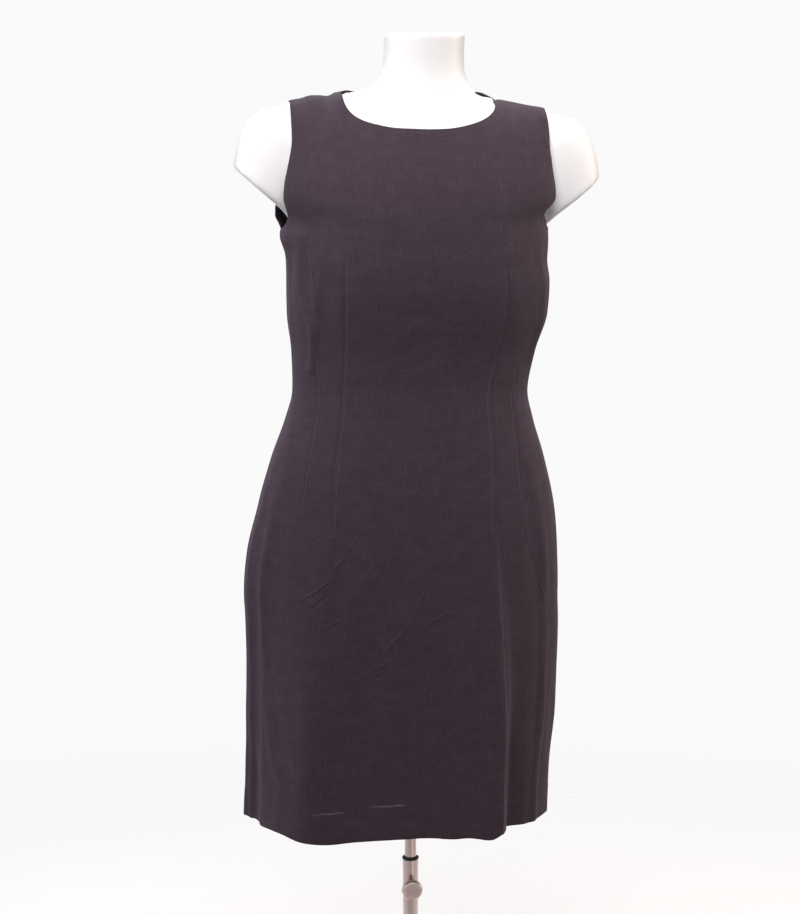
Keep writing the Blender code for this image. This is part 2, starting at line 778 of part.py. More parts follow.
def build_form():
    """The torso with its neck and two short shoulder stubs, one smooth closed shell."""
    rings = [form_ring(height) for height in FORM_HEIGHTS]
    rings += [form_yoke_ring(level) for level in FORM_LEVELS]
    torso = loft("display_form", rings, "form_white", ridged=True)

    across, forward = Vector((1, 0, 0)), Vector((0, 1, 0))
    neck_rings = [
        ellipse_ring(Vector((x, y, height)), across, forward, wide, deep, ROUND)
        for height, wide, deep, x, y in NECK_SECTIONS
    ]
    combine(torso, loft("neck_guide", neck_rings, "form_white", guide=True), "UNION")

    for name, side in (("left", 1), ("right", -1)):
        rings = []
        for outer_x, outer_z, inner_x, inner_z, half_depth in STUB_RINGS:
            ends = []
            for x, z in ((outer_x, outer_z), (inner_x, inner_z)):
                lean = SHOULDER_LEAN * side * x
                ends.append(Vector((STUB_MIDDLE[0] + side * x, STUB_MIDDLE[1], z - lean)))
            middle = (ends[0] + ends[1]) / 2
            half = (ends[0] - ends[1]) / 2
            rings.append(ellipse_ring(middle, half, forward, 1, half_depth, STUB_SIDES))
        stub = loft(f"stub_{name}_guide", rings, "form_white", guide=True)
        combine(torso, stub, "UNION")


# ---------------------------------------------------------------- the stand


def build_stand():
    """Round base, outer tube with its clamp, black ring, and the pole that slides inside."""
    turned("base_plate", [
        (0, 0), (BASE_RADIUS - BASE_BEVEL / 2, 0), (BASE_RADIUS, BASE_BEVEL / 2),
        (BASE_RADIUS, BASE_THICK - BASE_BEVEL), (BASE_RADIUS - BASE_BEVEL, BASE_THICK),
        (BOSS_RADIUS, BASE_THICK), (BOSS_RADIUS, BOSS_TOP - BOSS_BEVEL),
        (BOSS_RADIUS - BOSS_BEVEL, BOSS_TOP), (0, BOSS_TOP),
    ], "chrome", sides=64)

    foot = BOSS_TOP + REST_GAP
    tube = turned("outer_tube", [
        (TUBE_BORE, foot), (TUBE_RADIUS, foot), (TUBE_RADIUS, TUBE_TOP), (TUBE_BORE, TUBE_TOP),
    ], "chrome")
    out = Matrix.Translation((0, 0, CLAMP_HEIGHT * MM)) @ Matrix.Rotation(math.radians(90), 4, "X")
    boss = turned("clamp_boss_guide", [
        (0, CLAMP_BOSS_ROOT), (CLAMP_BOSS_RADIUS, CLAMP_BOSS_ROOT),
        (CLAMP_BOSS_RADIUS, CLAMP_BOSS_REACH), (0, CLAMP_BOSS_REACH),
    ], "chrome", guide=True, sides=24)
    boss.matrix_world = out
    past = CLAMP_BOSS_REACH * 1.3
    bore = turned("clamp_bore_guide", [
        (0, CLAMP_BORE_START), (CLAMP_BORE, CLAMP_BORE_START), (CLAMP_BORE, past), (0, past),
    ], "chrome", guide=True, sides=24)
    bore.matrix_world = out
    combine(tube, boss, "UNION")
    combine(tube, bore, "DIFFERENCE")

    head = CLAMP_BOSS_REACH + REST_GAP
    face = head + KNOB_THICK
    knob = turned("clamp_knob", [
        (0, POLE_RADIUS + REST_GAP), (STEM_RADIUS, POLE_RADIUS + REST_GAP), (STEM_RADIUS, head),
        (KNOB_RADIUS - KNOB_BACK_EDGE[0], head), (KNOB_RADIUS, head + KNOB_BACK_EDGE[1]),
        (KNOB_RADIUS, face - KNOB_FACE_EDGE[1]), (KNOB_RADIUS - KNOB_FACE_EDGE[0], face),
        (KNOB_RADIUS - KNOB_FACE_INSET, face + KNOB_CROWN[0]), (0, face + KNOB_CROWN[1]),
    ], "chrome", sides=32)
    knob.matrix_world = out

    ring_foot = TUBE_TOP + REST_GAP
    ring_top = ring_foot + RING_HEIGHT
    inset, step = RING_EDGE
    turned("collar_ring", [
        (RING_BORE, ring_foot), (RING_RADIUS - inset, ring_foot), (RING_RADIUS, ring_foot + step),
        (RING_RADIUS, ring_top - step), (RING_RADIUS - inset, ring_top), (RING_BORE, ring_top),
    ], "black_ring")

    under = FORM_BOTTOM - REST_GAP
    pole_top = under - FLANGE_THICK - REST_GAP
    turned("inner_pole", [
        (0, POLE_BOTTOM), (POLE_RADIUS, POLE_BOTTOM), (POLE_RADIUS, pole_top), (0, pole_top),
    ], "chrome")
    socket_foot = under - SOCKET_DEPTH
    turned("form_socket", [
        (0, under), (FLANGE_RADIUS, under), (FLANGE_RADIUS, under - FLANGE_THICK + FLANGE_EDGE),
        (FLANGE_RADIUS - FLANGE_EDGE, under - FLANGE_THICK), (SOCKET_RADIUS, under - FLANGE_THICK),
        (SOCKET_RADIUS, socket_foot), (SOCKET_BORE, socket_foot),
        (SOCKET_BORE, under - FLANGE_THICK), (0, under - FLANGE_THICK),
    ], "chrome")


# ---------------------------------------------------------------- the zip's slider and pull


def back_frame(height):
    """A point of the centre back's outer face at this height, with its outward and down axes."""
    full = shoulder_ridge(0) - UNDERARM_HEIGHT

    def at(z):
        level = math.asin(((z - UNDERARM_HEIGHT) / full) ** (BACK_POWER / 2)) * 2 / math.pi
        return yoke_point(0.0, level, 1, *cloth_chest(level, 1))

    down = (at(height - 12) - at(height + 4)).normalized()
    out = down.cross(Vector((1, 0, 0))).normalized()
    if out.y < 0:
        out = -out
    return at(height) + out * CLOTH / 2, out, down


def box(mesh, centre, size):
    """A box in a bmesh, in millimetres."""
    made = bmesh.ops.create_cube(mesh, size=1.0)
    place = Matrix.Translation(Vector(centre) * MM) @ Matrix.Diagonal((*(s * MM for s in size), 1.0))
    bmesh.ops.transform(mesh, matrix=place, verts=made["verts"])


def plate(name, outline, holes, thick, look):
    """A flat plate cut from an outline in its own XZ plane, with rectangular holes, at y = 0."""
    mesh = bmesh.new()
    verts = [mesh.verts.new((x * MM, -thick / 2 * MM, z * MM)) for x, z in outline]
    face = mesh.faces.new(verts)
    moved = bmesh.ops.extrude_face_region(mesh, geom=[face])
    lifted = [v for v in moved["geom"] if isinstance(v, bmesh.types.BMVert)]
    bmesh.ops.translate(mesh, vec=(0, thick * MM, 0), verts=lifted)
    obj = finished(mesh, name, look)
    for k, (centre, size) in enumerate(holes):
        cutter = bmesh.new()
        box(cutter, (centre[0], 0, centre[1]), (size[0], thick * 4, size[1]))
        combine(obj, finished(cutter, f"{name}_hole_{k}_guide", look, guide=True), "DIFFERENCE")
    return obj


def build_zip():
    """The slider at the top of the back zip and its hanging pull, lying on the cloth."""
    seat, out, down = back_frame(SLIDER_HEIGHT)
    right = down.cross(out)
    frame = Matrix((
        (right.x, out.x, -down.x, seat.x * MM),
        (right.y, out.y, -down.y, seat.y * MM),
        (right.z, out.z, -down.z, seat.z * MM),
        (0, 0, 0, 1),
    ))
    wide, deep, tall = SLIDER_SIZE
    body_mid = REST_GAP + deep / 2
    body = bmesh.new()
    box(body, (0, body_mid, 0), (wide, deep, tall))
    slider = finished(body, "zip_slider", "zip_metal")
    bail = bmesh.new()
    face_y = REST_GAP + deep
    bail_deep = BAIL_OUT + BAIL_ROOT
    box(bail, (0, face_y + BAIL_OUT - bail_deep / 2, 0), (BAIL_WIDE, bail_deep, BAIL_LONG))
    bail_obj = finished(bail, "zip_bail_guide", "zip_metal", guide=True)
    gap = bmesh.new()
    pin_y = face_y + HINGE_OUT
    box(gap, (0, pin_y, 0), (BAIL_WIDE * 3, BAIL_GAP_DEEP, BAIL_GAP_LONG))
    gap_obj = finished(gap, "zip_bail_gap_guide", "zip_metal", guide=True)
    combine(bail_obj, gap_obj, "DIFFERENCE")
    combine(slider, bail_obj, "UNION")

    half, neck = PULL_WIDE / 2, PULL_NECK_WIDE / 2
    right_side = [
        (neck, PULL_TOP), (neck, PULL_NECK_END), (half, PULL_WIDE_START),
        (half, PULL_TIP[1] - PULL_LONG), (half - PULL_TIP[0], -PULL_LONG),
    ]
    outline = right_side + [(-x, z) for x, z in reversed(right_side)]
    slot = ((0, PULL_SLOT_TOP - PULL_SLOT_LONG / 2), (PULL_SLOT_WIDE, PULL_SLOT_LONG))
    pull = plate("zip_pull", outline, [slot], PULL_THICK, "zip_metal")

    for obj in (slider, bail_obj, gap_obj):
        obj.matrix_world = frame
    hinge = frame @ Matrix.Translation((0, pin_y * MM, 0))
    for obj in bpy.data.objects:
        if obj.name.startswith("zip_pull"):
            obj.matrix_world = hinge
    print("zip pull hinge, metres:", [round(value, 5) for value in hinge.translation])
    print("zip pull hinge axis:", [round(value, 5) for value in right])
    print("zip down direction:", [round(value, 5) for value in down])


def main():
    for obj in list(bpy.data.objects):
        bpy.data.objects.remove(obj)
    build_front()
    build_backs()
    build_form()
    build_stand()
    build_zip()


main()
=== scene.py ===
# %% [markdown]
# # A sheath dress on a display form
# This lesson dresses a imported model: a dark sleeveless sheath dress that hangs on a white display
# form, on a chrome pole stand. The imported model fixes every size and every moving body, and this
# script makes the cloth, its sewing, the smooth form and all the finishes around it.
# Lengths of the garment are in millimetres, as a cutter writes them, and turn into metres when a
# mesh is made. The front of the dress faces -Y and the wearer's left side is at +X.

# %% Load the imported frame
import json
import math

import bmesh
import bpy
import numpy as np
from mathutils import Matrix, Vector

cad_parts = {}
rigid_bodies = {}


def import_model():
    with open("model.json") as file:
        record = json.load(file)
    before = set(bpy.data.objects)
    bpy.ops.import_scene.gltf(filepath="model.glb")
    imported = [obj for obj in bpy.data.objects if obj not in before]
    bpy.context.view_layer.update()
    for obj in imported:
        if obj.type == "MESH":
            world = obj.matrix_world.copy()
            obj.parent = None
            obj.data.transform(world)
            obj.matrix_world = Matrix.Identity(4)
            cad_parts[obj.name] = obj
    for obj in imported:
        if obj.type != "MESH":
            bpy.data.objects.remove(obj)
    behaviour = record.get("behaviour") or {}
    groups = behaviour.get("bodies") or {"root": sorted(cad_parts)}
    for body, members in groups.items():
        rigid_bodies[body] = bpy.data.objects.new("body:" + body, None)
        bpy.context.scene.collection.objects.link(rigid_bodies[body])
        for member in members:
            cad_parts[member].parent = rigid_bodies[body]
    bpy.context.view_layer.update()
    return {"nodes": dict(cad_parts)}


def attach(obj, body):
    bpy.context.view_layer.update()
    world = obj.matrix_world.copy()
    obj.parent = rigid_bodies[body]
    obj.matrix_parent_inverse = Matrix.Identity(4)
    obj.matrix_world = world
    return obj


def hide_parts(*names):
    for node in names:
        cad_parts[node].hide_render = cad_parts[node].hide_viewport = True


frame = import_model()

MM = 0.001
SEED = 7
TINY = 1e-6
nodes = frame["nodes"]
scene = bpy.context.scene
print("nodes:", ", ".join(sorted(nodes)))

# %% [markdown]
# ## The camera
# The dress was seen from a little to the wearer's right and from chest height, through a long lens.
# The camera could be placed by eye, but the pole gives a better way: it is upright and stands on
# the origin, so the distance, the height and the tilt follow from where it crosses the picture.
# The picture's middle lies a little off the lens's axis, which the shift takes up.

# %% Place the camera
PICTURE_HEIGHT_PX = 914
POLE_OFF_MIDDLE_PX = 10.5
CAMERA_DISTANCE = 3.2
CAMERA_HEIGHT = 1.48
CAMERA_TURN = math.radians(-6)
CAMERA_TILT = math.radians(8.983)
CAMERA_LENS = 100.055

lens = bpy.data.cameras.new("camera")
lens.lens = CAMERA_LENS
lens.shift_x = -POLE_OFF_MIDDLE_PX / PICTURE_HEIGHT_PX
camera = bpy.data.objects.new("camera", lens)
away = CAMERA_DISTANCE * Vector((math.sin(CAMERA_TURN), -math.cos(CAMERA_TURN), 0))
camera.location = away + Vector((0, 0, CAMERA_HEIGHT))
camera.rotation_euler = (math.pi / 2 - CAMERA_TILT, 0, CAMERA_TURN)
scene.collection.objects.link(camera)
scene.camera = camera
print("camera at", [round(value, 3) for value in camera.location])

# %% [markdown]
# ## From a mesh to an object in the scene
# A mesh is only data until an object shows it. Every piece here goes the same way: its finish is
# given to the mesh, and an object with the piece's name is linked to the scene.

# %% The object maker
def scene_object(name, mesh, look=None):
    """A new object in the scene that shows a mesh, with its finish."""
    if look:
        mesh.materials.append(look)
    made = bpy.data.objects.new(name, mesh)
    scene.collection.objects.link(made)
    return made


print("objects at the start:", len(scene.collection.all_objects))

# %% [markdown]
# ## A smooth line through a short table
# A pattern cutter writes a shape as a few measured points and joins them with a smooth curve. A
# spline could swing past its points and make ripples in the cloth. This line is a monotone cubic:
# it passes through every point and never goes beyond its neighbours. It takes whole arrays, so one
# call shapes thousands of points of the cloth.

# %% The smooth line and its helpers
class Line:
    """A smooth line through the points of a short table, which never swings past them."""

    def __init__(self, places, values):
        self.places = np.array(places, float)
        self.values = np.array(values, float)
        steps = np.diff(self.places)
        slopes = np.diff(self.values) / steps
        self.tangents = np.concatenate([slopes[:1], np.zeros(len(slopes) - 1), slopes[-1:]])
        for i in range(1, len(slopes)):
            if slopes[i - 1] * slopes[i] > 0:
                before, after = 2 * steps[i] + steps[i - 1], steps[i] + 2 * steps[i - 1]
                self.tangents[i] = (before + after) / (before / slopes[i - 1] + after / slopes[i])

    def __call__(self, place):
        place = np.clip(place, self.places[0], self.places[-1])
        i = np.clip(np.searchsorted(self.places, place) - 1, 0, len(self.places) - 2)
        step = self.places[i + 1] - self.places[i]
        t = (place - self.places[i]) / step
        return (
            (2 * t**3 - 3 * t**2 + 1) * self.values[i]
            + (t**3 - 2 * t**2 + t) * step * self.tangents[i]
            + (3 * t**2 - 2 * t**3) * self.values[i + 1]
            + (t**3 - t**2) * step * self.tangents[i + 1]
        )


def line_of(rows, column=1):
    """A Line from one column of a table against its first column."""
    return Line([row[0] for row in rows], [row[column] for row in rows])


def lines_of(columns, rows):
    """A Line for each named column of a table, against its first column."""
    return {name: line_of(rows, i) for i, name in enumerate(columns) if i}


def rounded(share, power):
    """Depth of a rounded outline, 1 in the middle and 0 at a share of 1."""
    return np.maximum(0.0, 1.0 - np.minimum(np.abs(share), 1.0) ** power) ** (1.0 / power)


def ramp(value, start, end):
    """0 before start, 1 after end, and smooth between them."""
    t = np.clip((value - start) / (end - start), 0.0, 1.0)
    return t * t * (3 - 2 * t)


def bell(distance, width):
    """1 on the line and falling off smoothly at both sides of it."""
    return np.exp(-((distance / width) ** 2))


print("halfway up a ramp:", float(ramp(0.5, 0.0, 1.0)))

# %% [markdown]
# ## The measurements of the dress
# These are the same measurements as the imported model's. Each row of the first table is one
# horizontal section of the worn dress, from hem to underarm: where its middle sways to, its half
# width, its depth in front and behind, and how square its outline is (2 is an ellipse). The hem
# has a table of its own, because the cloth drops from the long darts into a corner on one side
# and a deep fold on the other.

# %% Sections, hem and darts
HEM_HEIGHT = 500.0
UNDERARM_HEIGHT = 1266.0
CLOTH = 1.2
HEM_TURN_UP = 40.0
HEM_CLOTH = 2.2
SEAM_GAP = 0.3

section = lines_of(
    ("height", "sway", "half_width", "front", "back", "front_square", "back_square"),
    (
        (500, -10, 196.0, 104, 108, 2.30, 2.20),
        (560, -8, 196.5, 105, 110, 2.30, 2.20),
        (640, -5, 202.0, 106, 112, 2.30, 2.20),
        (720, -6, 201.5, 107, 115, 2.30, 2.20),
        (760, -8, 201.5, 108, 117, 2.30, 2.20),
        (800, -11, 201.5, 108, 119, 2.30, 2.25),
        (850, -10, 198.5, 108, 121, 2.30, 2.30),
        (916, -6, 188.0, 107, 117, 2.30, 2.30),
        (978, -4, 172.5, 104, 104, 2.30, 2.30),
        (1025, -2, 157.0, 101, 91, 2.30, 2.25),
        (1062, -1, 149.0, 100, 84, 2.30, 2.20),
        (1110, 3, 153.5, 106, 84, 2.35, 2.20),
        (1160, 8, 163.5, 119, 91, 2.45, 2.25),
        (1200, 9, 165.0, 128, 99, 2.50, 2.30),
        (1230, 6.5, 163.0, 130, 103, 2.50, 2.30),
        (1266, 6.5, 164.0, 129, 104, 2.40, 2.30),
    ),
)
DEPTH = {-1: "front", 1: "back"}
SQUARE = {-1: "front_square", 1: "back_square"}

HEM_COLUMNS = ("angle", "x", "y", "rise")
hem = {
    -1: lines_of(HEM_COLUMNS, (
        (-90, -216, 22, 3.0),
        (-74, -203, 6, 2.0),
        (-58, -190, -36, 0.0),
        (-49, -167, -78, -1.5),
        (-41, -143, -102, -7.0),
        (-20, -76, -99, -4.5),
        (0, -18, -96, -3.0),
        (20, 48, -95, -0.5),
        (36, 94, -98, -0.8),
        (41, 107, -98, 2.0),
        (43, 113, -76, 1.0),
        (45, 118, -57, 0.0),
        (57, 140, -52, 0.5),
        (72, 158, -36, 2.5),
        (90, 178, -6, 4.0),
    )),
    1: lines_of(HEM_COLUMNS, (
        (-90, -216, 22, 3.0),
        (-68, -199, 62, 0.0),
        (-45, -150, 98, -1.5),
        (-24, -86, 111, -1.0),
        (0, -18, 106, 0.5),
        (24, 50, 111, -1.0),
        (45, 112, 99, 0.0),
        (66, 158, 58, 1.5),
        (90, 178, -6, 4.0),
    )),
}
HEM_RISE_REACH = 130.0
DROP_START = 905.0
DROP_POWER = 1.15

# Degrees round from the centre at each height, for the long, the side and the back dart.
long_dart = line_of((
    (500, 41.0), (560, 39.3), (670, 36.2), (780, 33.8), (885, 32.0), (960, 34.5),
    (1062, 38.2), (1150, 38.2), (1240, 37.6), (1266, 36.8),
))
side_dart = line_of((
    (500, 57.0), (700, 54.0), (925, 48.5), (1062, 54.6), (1125, 56.0), (1266, 53.0),
))
back_dart = line_of(((500, 34.0), (860, 29.0), (1062, 33.0), (1180, 33.5), (1266, 36.8)))
LONG_DART_SPAN = (885.0, 1243.0)
SIDE_DART_SPAN = (925.0, 1125.0)
BACK_DART_SPAN = (880.0, 1185.0)
print("hem", HEM_HEIGHT, "underarm", UNDERARM_HEIGHT, "cloth", CLOTH, "mm")

# %% [markdown]
# ## Shoulders, neckline and armholes
# Above the underarm the body closes over to the shoulder ridge. The armhole tables say how wide
# the dress is at each share of the way up, and how far its cut edge stands forward of the side.
# A real armhole is drawn on flat paper. Here it is drawn on the body instead, because that is
# where it can be measured on a dress that is already worn.

# %% Shoulder and armhole tables
shoulder_ridge = line_of((
    (0, 1452), (50, 1444), (75, 1434), (97, 1427),
    (130, 1423), (161, 1419.5), (176, 1412), (192, 1392),
))
SHOULDER_LEAN = 0.03
RIDGE_Y = 6.0
CHEST_POWER = {-1: 1.85, 1: 2.6}

ARMHOLE_COLUMNS = ("rise", "half_width", "fullness")
armhole = {
    -1: lines_of(ARMHOLE_COLUMNS, (
        (0.00, 164.0, 0.00),
        (0.04, 162.0, 0.14),
        (0.10, 162.0, 0.25),
        (0.17, 165.5, 0.35),
        (0.27, 169.5, 0.42),
        (0.37, 168.5, 0.47),
        (0.47, 165.5, 0.51),
        (0.58, 162.5, 0.54),
        (0.70, 160.0, 0.58),
        (0.85, 160.0, 0.62),
        (1.00, 160.0, 0.64),
    )),
    1: lines_of(ARMHOLE_COLUMNS, (
        (0.00, 164.0, 0.00),
        (0.05, 170.0, 0.12),
        (0.10, 175.0, 0.21),
        (0.16, 175.0, 0.31),
        (0.24, 170.0, 0.41),
        (0.40, 163.0, 0.50),
        (0.60, 159.0, 0.56),
        (0.80, 158.0, 0.62),
        (1.00, 160.0, 0.64),
    )),
}
yoke_sway = line_of(((0.0, 0.0), (0.27, 0.5), (0.47, 1.0), (0.6, 2.0), (0.78, 2.5), (1.0, 2.5)))
NECK_DROP_FRONT = 36.0
NECK_RISE_BACK = 8.0
NECKLINE_POWER = {-1: 2.6, 1: 2.1}
print("shoulder points", round(2 * float(armhole[-1]["half_width"](1.0))), "mm apart")

# %% [markdown]
# ## From a measurement to a place on the body
# A place below the underarm is an angle round from the centre and a height. Above it, it is a
# share of the half width and a level from the underarm (0) to the shoulder ridge (1). Two
# functions turn such a pair into a point, for arrays of any shape.

# %% The two surfaces
def stacked(x, y, z):
    """Arrays of coordinates as one array of points."""
    return np.stack(np.broadcast_arrays(x, y, z), axis=-1)


def section_point(angle, height, facing, ease=0.0):
    """A point of the horizontal section: facing -1 is the front half, +1 the back half."""
    half_width = section["half_width"](height) - ease
    depth = section[DEPTH[facing]](height) - ease
    share = np.sin(np.radians(angle))
    out = depth * rounded(share, section[SQUARE[facing]](height))
    return stacked(section["sway"](height) + half_width * share, facing * out, height)


def angle_at_hem(angle, height):
    """The angle at which the front's thread under each place reaches the hem."""
    here = [0.0, float(long_dart(height)), float(side_dart(height)), 90.0]
    there = [0.0, float(long_dart(HEM_HEIGHT)), float(side_dart(HEM_HEIGHT)), 90.0]
    return np.copysign(np.interp(np.abs(angle), here, there), angle)


def skirt_row(angle, height, facing):
    """One row of points at one height: the hip's section turning into the hem's folds."""
    points = section_point(angle, height, facing)
    drop = max(0.0, (DROP_START - height) / (DROP_START - HEM_HEIGHT)) ** DROP_POWER
    end = angle_at_hem(angle, height) if facing < 0 else angle
    place = stacked(hem[facing]["x"](end), hem[facing]["y"](end), height)
    points = points + (place - points) * min(drop, 1.0)
    rise = hem[facing]["rise"](end) * (1 - ramp(height, HEM_HEIGHT, HEM_HEIGHT + HEM_RISE_REACH))
    points[..., 2] += rise
    return points


def level_shares(level, facing):
    """How far up and how far out the chest's curve is at a level from 0 to 1."""
    turn = np.asarray(level) * math.pi / 2
    power = 2 / CHEST_POWER[facing]
    return np.sin(turn) ** power, np.maximum(np.cos(turn), 0.0) ** power


def cloth_chest(level, facing):
    """The dress's half width at the armhole, and that of the fuller chest that carries it."""
    up, _ = level_shares(level, facing)
    half_width = armhole[facing]["half_width"](up)
    square = section[SQUARE[facing]](UNDERARM_HEIGHT)
    return half_width, half_width / rounded(armhole[facing]["fullness"](up), square)


def yoke_point(share, level, facing, half_width, chest, ease=0.0, below=0.0):
    """A point between the underarm (level 0) and the shoulder ridge (level 1)."""
    across = share * half_width
    depth = section[DEPTH[facing]](UNDERARM_HEIGHT) - ease
    square = section[SQUARE[facing]](UNDERARM_HEIGHT)
    up, out = level_shares(level, facing)
    ridge = shoulder_ridge(np.abs(across)) - below
    sway = section["sway"](UNDERARM_HEIGHT) + yoke_sway(up)
    return stacked(
        sway + across,
        RIDGE_Y * up + facing * depth * rounded(across / chest, square) * out,
        UNDERARM_HEIGHT + (ridge - UNDERARM_HEIGHT) * up - SHOULDER_LEAN * across * up,
    )


def worn_point(share, level, facing):
    """The cloth's own point on the chest."""
    return yoke_point(share, level, facing, *cloth_chest(level, facing))


print("centre front at the bust:", section_point(0.0, 1200.0, -1).round(1), "mm")

# %% [markdown]
# ## Where each thread ends at the top
# A column of the cloth's grid runs up a thread from the hem. Between the two neckline corners it
# ends at the neckline, and outside them at the shoulder seam. A cut with a Boolean would leave
# long thin faces along the neckline, so the columns are led to it instead, and crowd where it is
# steepest.

# %% Neckline and column tops
NECK_SHARE = math.sin(math.radians(float(long_dart(UNDERARM_HEIGHT))))
SHOULDER_HALF = 160.0


def neck_power(share):
    """The neckline's roundness at each side of the middle."""
    return np.where(np.asarray(share) < 0, NECKLINE_POWER[-1], NECKLINE_POWER[1])


def neckline_height(across, facing):
    """Height of the neckline's edge at a distance from its middle, before the shoulders' lean."""
    half = SHOULDER_HALF * NECK_SHARE
    end = shoulder_ridge(half)
    share = np.minimum(np.abs(across) / half, 1.0)
    if facing < 0:
        return end - NECK_DROP_FRONT * rounded(share, neck_power(across))
    return end + NECK_RISE_BACK * (1 - share**2)


def top_level(share, facing):
    """The level at which a column ends: the shoulder seam, or the neckline inside it."""
    across = share * SHOULDER_HALF
    rise = neckline_height(across, facing) - UNDERARM_HEIGHT
    full = shoulder_ridge(np.abs(across)) - UNDERARM_HEIGHT
    level = np.arcsin(np.minimum(rise / full, 1.0) ** (CHEST_POWER[facing] / 2)) * 2 / math.pi
    return np.where(np.abs(share) >= NECK_SHARE - TINY, 1.0, level)


def top_share(share, facing):
    """Where a column ends: columns crowd to the neckline's corners, where it is steepest."""
    if facing > 0:
        return share
    turn = np.minimum(np.abs(share) / NECK_SHARE, 1.0) * math.pi / 2
    led = np.copysign(NECK_SHARE * np.sin(turn) ** (2 / neck_power(share)), share)
    return np.where(np.abs(share) >= NECK_SHARE - TINY, share, led)


front_neck, back_neck = (round(float(neckline_height(0.0, facing))) for facing in (-1, 1))
print("the neckline's middle is", front_neck, "mm up in front and", back_neck, "mm behind")

# %% [markdown]
# ## The grid of one cut piece
# Every piece is a grid with 3 to 4 mm between its points, fine enough for a crease and coarse
# enough to work on. Its columns follow the darts, because a dart is a seam and a crease must not
# cross it halfway between two columns. They also crowd near each dart and seam, where the surface
# turns within a millimetre or two.

# %% Columns and rows of the grid
LOWER_ROWS = 201
YOKE_ROWS = 54
CROWDING = 0.72
LEVEL_STEPS = 400


def crowded(count, at_start, at_end):
    """Shares from 0 to just under 1, closer together at the ends that are asked for."""
    t = np.arange(count) / count
    if at_start and at_end:
        return t - CROWDING * np.sin(2 * math.pi * t) / (2 * math.pi)
    if at_end:
        return t + CROWDING * np.sin(math.pi * t) / math.pi
    return t - CROWDING * np.sin(math.pi * t) / math.pi


def columns_between(lines, counts, crowding):
    """Each column's place among the cut's own lines: 2.5 is halfway between the third and fourth."""
    runs = [i + crowded(count, *ends) for i, (count, ends) in enumerate(zip(counts, crowding))]
    return np.concatenate([*runs, [float(lines - 1)]])


FRONT_COLUMNS = columns_between(
    7, (33, 20, 34, 34, 20, 33),
    ((1, 1), (1, 1), (0, 1), (1, 0), (1, 1), (1, 1)),
)
BACK_COLUMNS = columns_between(3, (38, 46), ((1, 1), (1, 1)))


def front_lines(height):
    """Angles of the front's side seams, darts and middle at a height."""
    long_one, side_one = float(long_dart(height)), float(side_dart(height))
    return [-90.0, -side_one, -long_one, 0.0, long_one, side_one, 90.0]


def back_lines(side):
    """The same for one back panel, from the centre back to its side seam."""
    return lambda height: [0.0, side * float(back_dart(height)), side * 90.0]


def even_levels(facing):
    """Levels from the underarm to the ridge, evenly spaced along the chest's curve."""
    level = np.linspace(0, 1, LEVEL_STEPS)
    up, out = level_shares(level, facing)
    rise = up * (float(shoulder_ridge(0)) - UNDERARM_HEIGHT)
    depth = out * section[DEPTH[facing]](UNDERARM_HEIGHT)
    along = np.concatenate([[0], np.cumsum(np.hypot(np.diff(rise), np.diff(depth)))])
    return np.interp(np.linspace(0, along[-1], YOKE_ROWS + 1), along, level)[1:]


print(len(FRONT_COLUMNS), "columns in the front,", len(BACK_COLUMNS), "in each back")

# %% [markdown]
# ## A panel that knows its own surface
# All the later steps ask the same things of a cut piece: where its points are, which way is out,
# and where a place lies once the piece is flat. One class works these out for any piece. The
# directions above the underarm come from the surface itself, because the grid's rows bend to the
# neckline there and slopes taken from the grid would bend with them.

# %% The panel
SLOPE_STEP = 0.004
FOLD_START = 0.35
SEAM_CALM = (80, 90)


